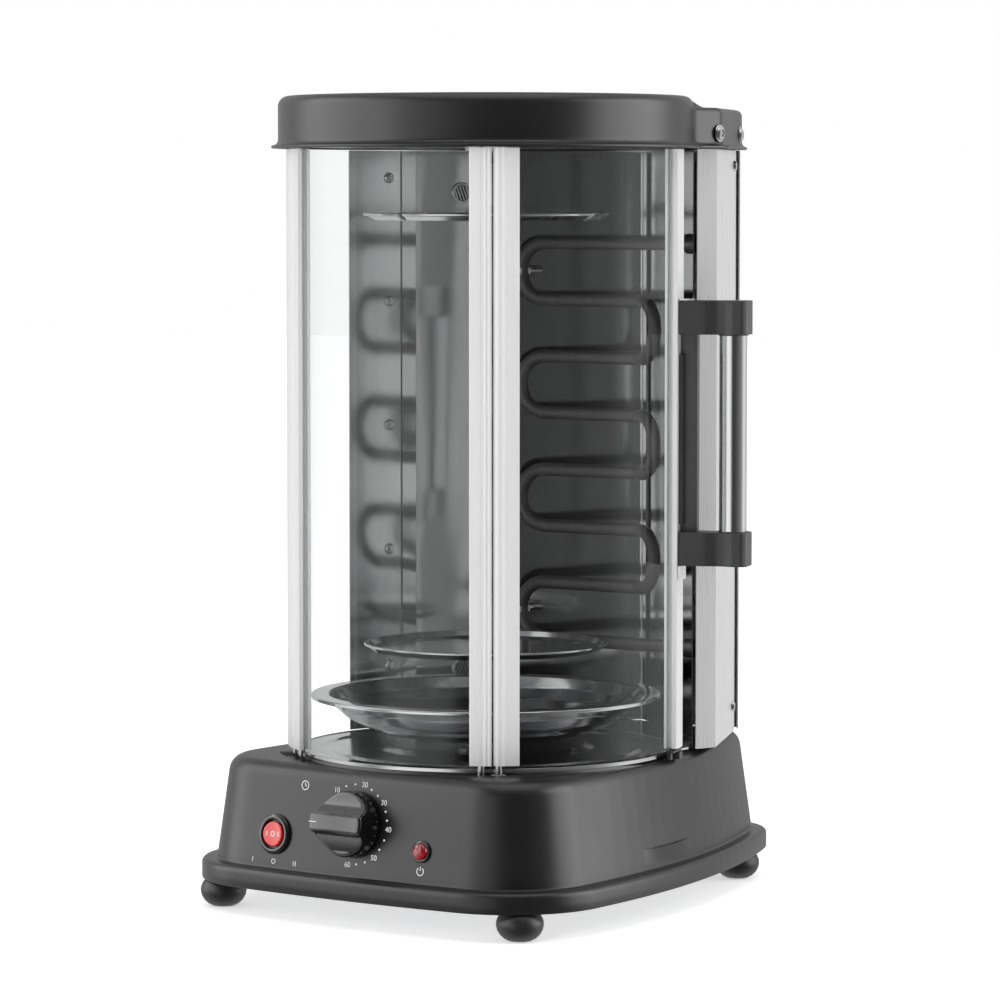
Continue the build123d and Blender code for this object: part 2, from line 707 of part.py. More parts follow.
# ===========================================================================
# Door
# ===========================================================================
with BuildPart() as door_hinge_post:
    with BuildSketch(at(Z_POST0)):
        with Locations(HINGE):
            Circle(POST_R1 - PIN_R)
        add(sector(POST_R0, POST_R1, PIN_A, FREE_OUT))
        with Locations(pol(POST_R1 - 0.1, PIN_A + 1.3)):
            Circle(0.7)
        with Locations(pol(POST_R1 + 0.1, PIN_A + 2.2)):
            Circle(0.45, mode=Mode.SUBTRACT)
        with Locations(HINGE):
            Circle(2.0, mode=Mode.SUBTRACT)
        add(sector(GLASS_R - GLASS_T - 0.1, GLASS_R + 0.1, FREE_OUT - 1.9, FREE_OUT), mode=Mode.SUBTRACT)
    extrude(amount=Z_POST1 - Z_POST0)
ship(door_hinge_post, "door_hinge_post")

with BuildPart() as door_pins:
    with BuildSketch(at(Z_TOP - 3)):
        with Locations(HINGE):
            Circle(2.0)
    extrude(amount=40)
    with BuildSketch(at(Z_POST1 - 34)):
        with Locations(HINGE):
            Circle(2.0)
    extrude(amount=40)
ship(door_pins, "door_pins")

with BuildPart() as hinge_bushes:
    # flanged bushes in the base and in the ceiling plate
    with BuildSketch(at(Z_TOP - 5.2)):
        with Locations(HINGE):
            Circle(3.5)
            Circle(2.05, mode=Mode.SUBTRACT)
    extrude(amount=5.2 - CHANNEL_D)
    with BuildSketch(at(Z_TOP - CHANNEL_D)):
        with Locations(HINGE):
            Circle(4.2)
            Circle(2.05, mode=Mode.SUBTRACT)
    extrude(amount=1.2)
    with BuildSketch(at(Z_LIP + 0.1)):
        with Locations(HINGE):
            Circle(4.6)
            Circle(2.05, mode=Mode.SUBTRACT)
    extrude(amount=1.0)
    with BuildSketch(at(Z_LIP + 1.1)):
        with Locations(HINGE):
            Circle(3.5)
            Circle(2.05, mode=Mode.SUBTRACT)
    extrude(amount=4.6)
ship(hinge_bushes, "hinge_bushes")

END_A0 = 106.4
with BuildPart() as door_glass:
    with BuildSketch(at(ZG0)):
        add(sector(GLASS_R - GLASS_T, GLASS_R, FREE_OUT - 1.7, END_A0 + 1.7))
    extrude(amount=ZG1 - ZG0)
ship(door_glass, "door_glass")

with BuildPart() as door_end_post:
    with BuildSketch(at(Z_POST0)):
        add(sector(POST_R0, POST_R1, END_A0, DOOR_END_A))
        add(sector(GLASS_R - GLASS_T - 0.1, GLASS_R + 0.1, END_A0, END_A0 + 1.9), mode=Mode.SUBTRACT)
    extrude(amount=Z_POST1 - Z_POST0)
    fillet(door_end_post.edges().filter_by(Axis.Z).sort_by_distance(Vertex(AX + pol(POST_R1, DOOR_END_A)[0], AY + pol(POST_R1, DOOR_END_A)[1], 260))[0], 1.0)
ship(door_end_post, "door_end_post")

# handle: grip plate, two brackets, bar
GP = radial(POST_R1, HANDLE_A, 0)


def hx(r, t):
    """Plan point at radius r along the handle's direction and t across it."""
    s, c = sin(radians(HANDLE_A)), cos(radians(HANDLE_A))
    return (r * s + t * c, -r * c + t * s)


def hpoly(*rt):
    with BuildSketch() as s:
        with BuildLine():
            Polyline(*[hx(r, t) for r, t in rt], close=True)
        make_face()
    return s.sketch


with BuildPart() as handle_plate:
    # moulded back plate: a web behind the bar and a thin strip lying on the post
    with BuildSketch(at(Z_BR_LO0)):
        add(hpoly((POST_R1 + 0.05, -1.6), (126.6, -1.6), (126.6, 5.6), (POST_R1 + 0.05, 5.6)))
    extrude(amount=Z_BR_HI1 - Z_BR_LO0)
    fillet(handle_plate.edges().filter_by(Axis.Z), 0.8)
    with BuildSketch(at(223)):
        add(hpoly((POST_R1 + 0.05, -6.6), (119.2, -6.6), (119.2, -1.0), (POST_R1 + 0.05, -1.0)))
    extrude(amount=98)
ship(handle_plate, "handle_plate")


def bracket(z0, z1):
    """Arm in plan: broad at the plate, waisted, then round about the bar."""
    with BuildSketch() as s:
        with BuildLine():
            Polyline(hx(POST_R1 + 0.1, -8.4), hx(133.5, -8.4))
            Spline(hx(133.5, -8.4), hx(139.5, -7.0), hx(145.5, -8.6), tangents=(
                (hx(1, 0)[0] - hx(0, 0)[0], hx(1, 0)[1] - hx(0, 0)[1]), (hx(1, -0.25)[0] - hx(0, 0)[0], hx(1, -0.25)[1] - hx(0, 0)[1])))
            Polyline(hx(145.5, -8.6), hx(149, -10.0), hx(155.4, -10.0), hx(157.4, -8.0), hx(157.4, 8.0), hx(155.4, 10.0),
                     hx(149, 10.0), hx(145.5, 8.6), hx(139.5, 7.2), hx(133.5, 8.4), hx(POST_R1 + 0.1, 8.4))
            Line(hx(POST_R1 + 0.1, 8.4), hx(POST_R1 + 0.1, -8.4))
        make_face()
        with Locations(hx(BAR_R, 0)):
            Circle(BAR_D / 2, mode=Mode.SUBTRACT)
    return s.sketch


with BuildPart() as handle_bracket_lower:
    with BuildSketch(at(Z_BR_LO0)):
        add(bracket(0, 0))
    extrude(amount=Z_BR_LO1 - Z_BR_LO0)
    with BuildSketch(at(Z_BR_LO0)):
        with Locations(hx(BAR_R, 0)):
            Circle(BAR_D / 2)
    extrude(amount=4)
    add(handle_plate.part, mode=Mode.SUBTRACT)
    with BuildSketch(radial(POST_R1 - 1, HANDLE_A, 209.0)):
        Circle(1.62)
    extrude(amount=9.4, mode=Mode.SUBTRACT)
ship(handle_bracket_lower, "handle_bracket_lower")

with BuildPart() as handle_bracket_upper:
    with BuildSketch(at(Z_BR_HI0)):
        add(bracket(0, 0))
    extrude(amount=Z_BR_HI1 - Z_BR_HI0)
    with BuildSketch(at(Z_BR_HI1 - 4)):
        with Locations(hx(BAR_R, 0)):
            Circle(BAR_D / 2)
    extrude(amount=4)
    add(handle_plate.part, mode=Mode.SUBTRACT)
    with BuildSketch(radial(POST_R1 - 1, HANDLE_A, 342.0)):
        Circle(1.62)
    extrude(amount=9.4, mode=Mode.SUBTRACT)
ship(handle_bracket_upper, "handle_bracket_upper")

with BuildPart() as handle_bar:
    with BuildSketch(at(Z_BR_LO0 + 4)):
        with Locations(hx(BAR_R, 0)):
            Circle(BAR_D / 2)
            Circle(BAR_D / 2 - 1.2, mode=Mode.SUBTRACT)
    extrude(amount=Z_BR_HI1 - Z_BR_LO0 - 8)
ship(handle_bar, "handle_bar")

with BuildPart() as handle_screws:
    # from inside the door through the end post into the plate
    for z in (209.0, 342.0):
        with BuildSketch(radial(POST_R0 - 0.1, HANDLE_A, z)):
            Circle(1.6)
        extrude(amount=15)
        with BuildSketch(radial(POST_R0 - 0.08, HANDLE_A, z)):
            Circle(3.2)
        extrude(amount=-1.8, taper=15)
# bores for the handle's screws
for piece, name in ((door_end_post, "door_end_post"), (handle_plate, "handle_plate")):
    with BuildPart() as bored:
        add(piece.part)
        for z in (209.0, 342.0):
            with BuildSketch(radial(POST_R0 - 1, HANDLE_A, z)):
                Circle(1.62)
            extrude(amount=17, mode=Mode.SUBTRACT)
    ship(bored, name)
ship(handle_screws, "handle_screws")

with BuildPart() as latch_tab:
    # small folded tab over the top of the handle
    with BuildSketch(at(Z_BR_HI1)):
        add(hpoly((POST_R1 + 0.15, -8.8), (125.0, -8.8), (125.0, -1.0), (POST_R1 + 0.15, -1.0)))
    extrude(amount=1.0)
ship(latch_tab, "latch_tab")

# catch under the free end of the door
CATCH_A = 111.4
with BuildPart() as door_catch:
    with BuildSketch(at(Z_TOP - CHANNEL_D)):
        add(sector(110.0, 117.5, CATCH_A - 2.6, CATCH_A + 1.2))
    extrude(amount=4.2)
ship(door_catch, "door_catch")

with BuildPart() as catch_striker:
    # shoe under the end post, with a stud that rides over the catch
    with BuildSketch(at(90.6)):
        add(sector(110.4, 116.6, 104.0, DOOR_END_A - 0.6))
    extrude(amount=1.1)
    with BuildSketch(at(91.7)):
        add(sector(110.4, 116.6, END_A0 + 2.2, DOOR_END_A - 0.6))
    extrude(amount=Z_POST0 - 91.7)
    with BuildSketch(at(Z_TOP - CHANNEL_D + 0.5)):
        with Locations(pol(113.4, 105.2)):
            Circle(1.9)
    extrude(amount=90.6 - Z_TOP + CHANNEL_D - 0.5)
ship(catch_striker, "catch_striker")

# ===========================================================================
# Cap
# ===========================================================================


def rear(grow):
    """Plan of the cap's rear part, grown outwards."""
    g = grow
    with BuildSketch() as s:
        with BuildLine():
            Polyline((0, 20), (104.0 + g, 40), (108.6 + g, 84.5 + g * 0.2), (74.8 + g, 157.4 + g * 0.5), (64.5 + g, 175.5 + g),
                     (0, 178.5 + g), (-64.5 - g, 175.5 + g), (-74.8 - g, 157.4 + g * 0.5), (-108.6 - g, 84.5 + g * 0.2), (-104.0 - g, 40), close=True)
        make_face()
        corners = [v for v in s.vertices() if v.Y > 50 and abs(v.X) > 5]
        fillet(corners, 7)
    return s.sketch


with BuildPart() as cap_hollow:
    with BuildSketch(at(Z_LIP - 1)):
        Circle(CAP_R - 1.4)
    extrude(amount=Z_CAPTOP - 1.4 - Z_LIP + 1)
    fillet(cap_hollow.faces().sort_by(Axis.Z)[-1].edges(), 4.6)
    with BuildSketch(at(Z_LIP - 1)):
        add(rear(-1.4))
    extrude(amount=Z_SHELF - 4.4 - Z_LIP + 1)
    with BuildSketch(at(Z_SHELF - 4.6)):
        add(rear(-4.4))
    extrude(amount=3.2)

with BuildPart() as cap_rear:
    with BuildSketch(at(Z_LIP)):
        add(rear(0))
    extrude(amount=Z_SHELF - Z_LIP)
    fillet(cap_rear.faces().sort_by(Axis.Z)[-1].edges(), 4.0)

with BuildPart() as cap:
    with BuildSketch(at(Z_LIP)):
        Circle(CAP_R)
    extrude(amount=Z_CAPTOP - Z_LIP)
    fillet(cap.faces().sort_by(Axis.Z)[-1].edges(), 6.0)
    add(cap_rear.part)
    with BuildSketch(at(Z_LIP)):
        Circle(LIP_R)
        add(rear(4.0))
    extrude(amount=1.6)
    add(cap_hollow.part, mode=Mode.SUBTRACT)
    # cap screws
    for x, y, dx, dy in ((108.6, 82.0, 1.0, 0.05), (76.5, 153.6, 0.9, 0.42), (-108.6, 82.0, -1.0, 0.05), (-76.5, 153.6, -0.9, 0.42)):
        n = hypot(dx, dy)
        with BuildSketch(Plane(origin=(AX + x - 6 * dx / n, AY + y - 6 * dy / n, 448.6), x_dir=(-dy / n, dx / n, 0), z_dir=(dx / n, dy / n, 0))):
            Circle(1.6)
        extrude(amount=12, mode=Mode.SUBTRACT)
ship(cap, "cap")

with BuildPart() as cap_screws:
    for x, y, dx, dy in ((108.6, 82.0, 1.0, 0.05), (76.5, 153.6, 0.9, 0.42), (-108.6, 82.0, -1.0, 0.05), (-76.5, 153.6, -0.9, 0.42)):
        n = hypot(dx, dy)
        pl = Plane(origin=(AX + x, AY + y, 448.6), x_dir=(-dy / n, dx / n, 0), z_dir=(dx / n, dy / n, 0))
        with BuildSketch(pl.offset(0.35)):
            Circle(4.1)
        extrude(amount=2.0, taper=20)
        with BuildSketch(pl.offset(-5)):
            Circle(1.55)
        extrude(amount=5.4)
ship(cap_screws, "cap_screws")

ZP = Z_LIP + 1.1
with BuildPart() as ceiling_plate:
    with BuildSketch(at(ZP)):
        Circle(CAP_R - 1.8)
        add(rear(-1.8))
        with Locations(*POST_STUDS):
            Circle(STUD_D / 2, mode=Mode.SUBTRACT)
        with Locations(HINGE):
            Circle(3.5, mode=Mode.SUBTRACT)
        Circle(8, mode=Mode.SUBTRACT)
    extrude(amount=1.2)
ship(ceiling_plate, "ceiling_plate")

with BuildPart() as top_bush:
    with BuildSketch(SIDE):
        with BuildLine():
            Polyline((3.06, 438.4), (12, 438.4), (12, ZP), (8, ZP), (8, 444.6), (3.06, 444.6), close=True)
        make_face()
    revolve(axis=SPIN)
ship(top_bush, "top_bush")

# ===========================================================================
# Controls
# ===========================================================================
with BuildPart() as timer_body:
    with BuildSketch(panel(*KNOB, out=-25)):
        Rectangle(34, 40)
    extrude(amount=21)
    with BuildSketch(panel(*KNOB, out=-4.2)):
        Circle(5.4)
        Circle(3.15, mode=Mode.SUBTRACT)
    extrude(amount=6.0)
    with BuildSketch(panel(*KNOB, out=-12)):
        Circle(3.15)
    extrude(amount=20, mode=Mode.SUBTRACT)
ship(timer_body, "timer_body")

with BuildPart() as timer_shaft:
    with BuildSketch(panel(*KNOB, out=-11.6)):
        Circle(3.1)
    extrude(amount=19.6)
ship(timer_shaft, "timer_shaft")

KNOB_R = 19.0
with BuildPart() as timer_knob:
    with BuildSketch(panel(*KNOB, out=2.4)):
        Circle(KNOB_R)
    extrude(amount=18.0, taper=2.5)
    fillet(timer_knob.faces().sort_by(panel(*KNOB).z_dir and Axis(panel(*KNOB).origin, panel(*KNOB).z_dir))[-1].edges(), 1.6)
    # two scoops leave a grip across the knob
    for s in (-1, 1):
        with BuildSketch(Plane(origin=panel(*KNOB, out=24.4).origin + panel(*KNOB).y_dir * (s * 17.6) - panel(*KNOB).x_dir * 26,
                               x_dir=panel(*KNOB).y_dir, z_dir=panel(*KNOB).x_dir)):
            Circle(14.2)
        extrude(amount=52, mode=Mode.SUBTRACT)
    with BuildSketch(panel(*KNOB, out=2.0)):
        Circle(3.1)
    extrude(amount=6.0, mode=Mode.SUBTRACT)
    with BuildSketch(panel(*KNOB, out=2.0)):
        Circle(KNOB_R - 2.2)
        Circle(6.4, mode=Mode.SUBTRACT)
    extrude(amount=4.4, mode=Mode.SUBTRACT)
ship(timer_knob, "timer_knob")

with BuildPart() as switch_body:
    with BuildSketch(panel(*SWITCH, out=-22)):
        Circle(9.9)
    extrude(amount=22.1)
    with BuildSketch(panel(*SWITCH, out=-9)):
        Circle(8.2)
    extrude(amount=12, mode=Mode.SUBTRACT)
    # bezel on the face of the wall
    with BuildSketch(panel(*SWITCH, out=0.08)):
        Circle(11.6)
        Circle(8.2, mode=Mode.SUBTRACT)
    extrude(amount=2.6)
    fillet(switch_body.faces().sort_by(Axis(panel(*SWITCH).origin, panel(*SWITCH).z_dir))[-1].edges().sort_by(SortBy.LENGTH)[-1], 1.2)
    # pivots' sockets
    with BuildSketch(Plane(origin=panel(*SWITCH, out=-2.2).origin - panel(*SWITCH).y_dir * 9.2, x_dir=panel(*SWITCH).x_dir, z_dir=panel(*SWITCH).y_dir)):
        Circle(1.3)
    extrude(amount=18.4, mode=Mode.SUBTRACT)
ship(switch_body, "switch_body")

with BuildPart() as switch_rocker:
    with BuildSketch(panel(*SWITCH, out=-6.2)):
        Circle(7.6)
    extrude(amount=8.6)
    with Locations(Location(panel(*SWITCH, out=-2.2).origin)):
        Sphere(7.85, mode=Mode.INTERSECT)
    # dished face that rises to both sides
    with BuildSketch(Plane(origin=panel(*SWITCH, out=2.4 + 39.0).origin - panel(*SWITCH).y_dir * 12, x_dir=panel(*SWITCH).x_dir, z_dir=panel(*SWITCH).y_dir)):
        Circle(40.0)
    extrude(amount=24, mode=Mode.SUBTRACT)
    with BuildSketch(Plane(origin=panel(*SWITCH, out=-2.2).origin - panel(*SWITCH).y_dir * 8.9, x_dir=panel(*SWITCH).x_dir, z_dir=panel(*SWITCH).y_dir)):
        Circle(1.22)
    extrude(amount=17.8)
ship(switch_rocker, "switch_rocker")

with BuildPart() as lamp_bezel:
    with BuildSketch(panel(*LAMP, out=-16)):
        Circle(4.5)
        Circle(3.6, mode=Mode.SUBTRACT)
    extrude(amount=16.1)
    with BuildSketch(panel(*LAMP, out=0.08)):
        Circle(6.2)
        Circle(3.6, mode=Mode.SUBTRACT)
    extrude(amount=1.3)
ship(lamp_bezel, "lamp_bezel")

with BuildPart() as lamp_lens:
    with BuildSketch(panel(*LAMP, out=-6)):
        Circle(3.55)
    extrude(amount=7.4)
    with BuildSketch(panel(*LAMP, out=1.4)):
        Circle(4.9)
    extrude(amount=3.0)
    fillet(lamp_lens.faces().sort_by(Axis(panel(*LAMP).origin, panel(*LAMP).z_dir))[-1].edges(), 2.6)
ship(lamp_lens, "lamp_lens")

# ===========================================================================
# Rear inlet and wiring block
# ===========================================================================
GL = Plane(origin=(AX + 52, AY + 178.0, 42), x_dir=(-1, 0, 0), z_dir=(0, 1, 0))
with BuildPart() as cable_gland:
    with BuildSketch(GL.offset(-14)):
        Circle(6.9)
        Circle(3.4, mode=Mode.SUBTRACT)
    extrude(amount=26)
ship(cable_gland, "cable_gland")

with BuildPart() as terminal_block:
    with BuildSketch(at(Z_FLANGE + 1.8)):
        with Locations((-55, 70)):
            Rectangle(44, 18)
    extrude(amount=6)
    with BuildSketch(at(Z_FLANGE + 7.8)):
        with Locations((-55, 70)):
            with GridLocations(12, 1, 3, 1):
                Rectangle(9, 14)
    extrude(amount=8)
ship(terminal_block, "terminal_block")

if __name__ == "__main__":
    lo, hi = [1e9] * 3, [-1e9] * 3
    for b in (base_shell, cap, handle_bracket_upper, handle_bracket_lower, feet, base_plate, cover_screws, cable_gland, back_cover):
        bb = b.part.bounding_box()
        lo = [min(p, q) for p, q in zip(lo, (bb.min.X, bb.min.Y, bb.min.Z))]
        hi = [max(p, q) for p, q in zip(hi, (bb.max.X, bb.max.Y, bb.max.Z))]
    print("box", [round(v, 2) for v in lo], [round(v, 2) for v in hi])
    print("element bend radius", R_BEND)
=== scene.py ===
import bpy, bmesh, json, random
from math import sin, cos, tan, pi, sqrt, hypot, asin, atan2, radians, degrees, exp
from mathutils import Vector, Matrix

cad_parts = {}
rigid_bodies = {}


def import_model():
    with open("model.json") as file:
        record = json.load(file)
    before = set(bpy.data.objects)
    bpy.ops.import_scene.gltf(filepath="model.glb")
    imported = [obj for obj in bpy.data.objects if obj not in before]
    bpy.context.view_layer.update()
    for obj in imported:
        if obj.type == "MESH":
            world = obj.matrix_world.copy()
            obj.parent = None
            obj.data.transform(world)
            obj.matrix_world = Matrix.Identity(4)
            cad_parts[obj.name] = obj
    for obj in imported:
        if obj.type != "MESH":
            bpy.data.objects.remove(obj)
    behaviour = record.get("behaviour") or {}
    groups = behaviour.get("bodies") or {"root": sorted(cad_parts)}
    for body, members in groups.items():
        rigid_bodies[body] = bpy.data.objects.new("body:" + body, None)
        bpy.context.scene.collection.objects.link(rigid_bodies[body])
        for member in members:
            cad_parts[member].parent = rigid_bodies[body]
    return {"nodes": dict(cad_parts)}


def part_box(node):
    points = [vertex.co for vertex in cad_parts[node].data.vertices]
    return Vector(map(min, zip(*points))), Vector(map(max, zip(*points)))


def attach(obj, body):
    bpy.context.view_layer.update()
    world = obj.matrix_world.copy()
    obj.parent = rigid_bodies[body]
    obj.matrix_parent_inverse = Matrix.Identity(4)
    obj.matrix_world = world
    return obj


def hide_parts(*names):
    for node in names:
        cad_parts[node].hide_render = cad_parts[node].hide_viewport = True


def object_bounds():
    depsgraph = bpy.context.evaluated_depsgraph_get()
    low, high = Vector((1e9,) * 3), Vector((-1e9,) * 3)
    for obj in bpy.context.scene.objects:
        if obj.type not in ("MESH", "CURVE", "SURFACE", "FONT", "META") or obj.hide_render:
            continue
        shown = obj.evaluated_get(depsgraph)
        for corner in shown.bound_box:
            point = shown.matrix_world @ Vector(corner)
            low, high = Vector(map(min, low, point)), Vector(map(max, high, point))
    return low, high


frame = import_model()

MM = 0.001
scene = bpy.context.scene
NODES = frame["nodes"]


def cad_box():
    lo, hi = Vector((1e9,) * 3), Vector((-1e9,) * 3)
    for n in NODES:
        a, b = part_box(n)
        lo, hi = Vector(map(min, lo, a)), Vector(map(max, hi, b))
    return lo, hi


bpy.context.view_layer.update()
CAD_LO, CAD_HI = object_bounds()
if (CAD_HI - CAD_LO).length > 1.5:
    CAD_LO, CAD_HI = cad_box()

_lo, _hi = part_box("spindle")
AX, AY = (_lo.x + _hi.x) / 2 / MM, (_lo.y + _hi.y) / 2 / MM      # spindle axis, mm


def zlo(n):
    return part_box(n)[0].z / MM


def zhi(n):
    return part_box(n)[1].z / MM


def P(x, y, z):
    """Point given about the spindle in millimetres, in metres in the frame."""
    return Vector(((AX + x) * MM, (AY + y) * MM, z * MM))


def pol(r, a):
    return (r * sin(radians(a)), -r * cos(radians(a)))


# =====================================================================
# Materials
# =====================================================================


class Mat:
    """Small helper round one node tree, with the shader's plain values set on its own sockets."""

    def __init__(self, name, color, rough=0.5, metal=0.0, spec=0.5, coat=0.0, coat_rough=0.1, ior=1.5):
        self.m = bpy.data.materials.new(name)
        self.m.use_nodes = True
        self.nt = self.m.node_tree
        self.b = self.nt.nodes["Principled BSDF"]
        self.out = self.nt.nodes["Material Output"]
        b = self.b.inputs
        b["Base Color"].default_value = (*color, 1)
        b["Roughness"].default_value = rough
        b["Metallic"].default_value = metal
        b["IOR"].default_value = ior
        b["Specular IOR Level"].default_value = spec
        b["Coat Weight"].default_value = coat
        b["Coat Roughness"].default_value = coat_rough
        self.color = color
        self.co = self.new("ShaderNodeTexCoord").outputs["Object"]

    def new(self, t, **kw):
        n = self.nt.nodes.new(t)
        for k, v in kw.items():
            setattr(n, k, v)
        return n

    def link(self, a, b):
        self.nt.links.new(a, b)

    def scaled(self, sx, sy, sz, src=None):
        n = self.new("ShaderNodeVectorMath", operation="MULTIPLY")
        self.link(src or self.co, n.inputs[0])
        n.inputs[1].default_value = (sx, sy, sz)
        return n.outputs[0]

    def math(self, op, a, b=None):
        n = self.new("ShaderNodeMath", operation=op)
        for i, v in enumerate((a, b)):
            if v is None:
                continue
            if hasattr(v, "is_linked"):
                self.link(v, n.inputs[i])
            else:
                n.inputs[i].default_value = v
        return n.outputs[0]

    def spun(self):
        """Coordinates of radius about the spindle, so that noise draws turning marks."""
        sub = self.new("ShaderNodeVectorMath", operation="SUBTRACT")
        self.link(self.co, sub.inputs[0])
        sub.inputs[1].default_value = (AX * MM, AY * MM, 0)
        sep = self.new("ShaderNodeSeparateXYZ")
        self.link(sub.outputs[0], sep.inputs[0])
        flat = self.new("ShaderNodeCombineXYZ")
        self.link(sep.outputs[0], flat.inputs[0])
        self.link(sep.outputs[1], flat.inputs[1])
        ln = self.new("ShaderNodeVectorMath", operation="LENGTH")
        self.link(flat.outputs[0], ln.inputs[0])
        c = self.new("ShaderNodeCombineXYZ")
        self.link(ln.outputs["Value"], c.inputs[0])
        self.link(sep.outputs[2], c.inputs[1])
        return c.outputs[0]

    def noise(self, vec, scale, detail=3.0, rough=0.55):
        n = self.new("ShaderNodeTexNoise")
        n.inputs["Scale"].default_value = scale
        n.inputs["Detail"].default_value = detail
        n.inputs["Roughness"].default_value = rough
        self.link(vec, n.inputs["Vector"])
        return n.outputs["Fac"]

    def ramp(self, fac, lo, hi, a, b):
        n = self.new("ShaderNodeMapRange")
        n.inputs["From Min"].default_value = lo
        n.inputs["From Max"].default_value = hi
        n.inputs["To Min"].default_value = a
        n.inputs["To Max"].default_value = b
        self.link(fac, n.inputs["Value"])
        return n.outputs["Result"]

    def rough(self, fac, lo, hi, a, b):
        self.link(self.ramp(fac, lo, hi, a, b), self.b.inputs["Roughness"])

    def tint(self, fac, lo, hi, ca, cb):
        n = self.new("ShaderNodeMix", data_type="RGBA")
        self.link(self.ramp(fac, lo, hi, 0, 1), n.inputs["Factor"])
        n.inputs["A"].default_value = (*ca, 1)
        n.inputs["B"].default_value = (*cb, 1)
        self.link(n.outputs["Result"], self.b.inputs["Base Color"])
        return n

    def bump(self, height, dist, strength=1.0, after=None):
        n = self.new("ShaderNodeBump")
        n.inputs["Distance"].default_value = dist
        n.inputs["Strength"].default_value = strength
        self.link(height, n.inputs["Height"])
        if after:
            self.link(after, n.inputs["Normal"])
        self.link(n.outputs["Normal"], self.b.inputs["Normal"])
        return n.outputs["Normal"]


def vary(c, k):
    return tuple(min(1.0, v * k) for v in c)


def paint(name, color, rough, dist=0.00004, scale=1500, coat=0.0):
    m = Mat(name, color, rough, spec=0.5, coat=coat, coat_rough=0.3)
    big = m.noise(m.co, 14, 3)
    fine = m.noise(m.co, scale, 2)
    m.tint(big, 0.3, 0.7, vary(color, 0.9), vary(color, 1.12))
    m.rough(m.math("ADD", m.math("MULTIPLY", big, 0.6), m.math("MULTIPLY", fine, 0.4)), 0.3, 0.7, rough - 0.05, rough + 0.06)
    m.bump(fine, dist, 0.6)
    return m.m


def brushed(name, color, rough, metal, along="z", depth=0.000012, streak=1.0, scale=2600, wob=0.0, spec=0.5):
    m = Mat(name, color, rough, metal, spec=spec)
    s = {"z": (1, 1, 0.012), "x": (0.012, 1, 1)}.get(along)
    vec = m.spun() if along == "spun" else m.scaled(*s)
    if along == "spun":
        vec = m.scaled(1, 0.6, 1, vec)
    fine = m.noise(vec, scale, 3, 0.7)
    big = m.noise(m.co, 22, 2)
    m.tint(fine, 0.3, 0.7, vary(color, 1 - 0.06 * streak), vary(color, 1 + 0.05 * streak))
    m.rough(m.math("ADD", m.math("MULTIPLY", fine, 0.5), m.math("MULTIPLY", big, 0.5)), 0.32, 0.68, rough * 0.82, rough * 1.2)
    nrm = None
    if wob:
        wave = m.noise(m.scaled(1, 1, 0.35), 16, 1)
        nrm = m.bump(wave, wob)
    m.bump(fine, depth, 0.7, nrm)
    return m.m


def plastic(name, color, rough, scale=2200, dist=0.00002, coat=0.0):
    m = Mat(name, color, rough, spec=0.5, coat=coat, coat_rough=0.08)
    fine = m.noise(m.co, scale, 3)
    big = m.noise(m.co, 60, 2)
    m.tint(big, 0.3, 0.7, vary(color, 0.94), vary(color, 1.06))
    m.rough(big, 0.3, 0.7, rough - 0.04, rough + 0.05)
    m.bump(fine, dist, 0.5)
    return m.m


def glass_mat(name, tint, film=0.05, edge=0.9):
    """Thin clear pane: see-through, with a mirror film that grows towards grazing."""
    m = bpy.data.materials.new(name)
    m.use_nodes = True
    nt = m.node_tree
    nt.nodes.remove(nt.nodes["Principled BSDF"])
    out = nt.nodes["Material Output"]
    tr = nt.nodes.new("ShaderNodeBsdfTransparent")
    gl = nt.nodes.new("ShaderNodeBsdfGlossy")
    mix = nt.nodes.new("ShaderNodeMixShader")
    lw = nt.nodes.new("ShaderNodeLayerWeight")
    lw.inputs["Blend"].default_value = 0.5
    pw = nt.nodes.new("ShaderNodeMath"); pw.operation = "POWER"; pw.inputs[1].default_value = 5.0
    ml = nt.nodes.new("ShaderNodeMath"); ml.operation = "MULTIPLY_ADD"
    ml.inputs[1].default_value = edge; ml.inputs[2].default_value = film
    nt.links.new(lw.outputs["Facing"], pw.inputs[0])
    nt.links.new(pw.outputs[0], ml.inputs[0])
    co = nt.nodes.new("ShaderNodeTexCoord")
    no = nt.nodes.new("ShaderNodeTexNoise")
    no.inputs["Scale"].default_value = 9.0
    nt.links.new(co.outputs["Object"], no.inputs["Vector"])
    mx = nt.nodes.new("ShaderNodeMix"); mx.data_type = "RGBA"
    nt.links.new(no.outputs["Fac"], mx.inputs["Factor"])
    mx.inputs["A"].default_value = (*tint, 1)
    mx.inputs["B"].default_value = (*vary(tint, 1.012), 1)
    nt.links.new(mx.outputs["Result"], tr.inputs["Color"])
    gl.inputs["Color"].default_value = (0.95, 0.97, 0.96, 1)
    gl.inputs["Roughness"].default_value = 0.0
    nt.links.new(ml.outputs[0], mix.inputs[0])
    nt.links.new(tr.outputs[0], mix.inputs[1])
    nt.links.new(gl.outputs[0], mix.inputs[2])
    nt.links.new(mix.outputs[0], out.inputs["Surface"])
    return m


def mirror_mat(name, color, rough, wob):
    """Polished sheet with slow waves from forming and faint rolling marks."""
    m = Mat(name, color, rough, 1.0)
    wave = m.noise(m.scaled(1, 1, 0.25), 13, 2)
    fine = m.noise(m.scaled(1, 1, 0.01), 1800, 2)
    big = m.noise(m.scaled(1, 1, 0.3), 9, 3)
    m.tint(big, 0.3, 0.7, vary(color, 0.88), vary(color, 1.1))
    m.rough(m.math("ADD", m.math("MULTIPLY", fine, 0.5), m.math("MULTIPLY", big, 0.5)), 0.35, 0.65, rough * 0.7, rough * 1.35)
    n1 = m.bump(wave, wob)
    m.bump(fine, 0.000004, 0.5, n1)
    return m.m


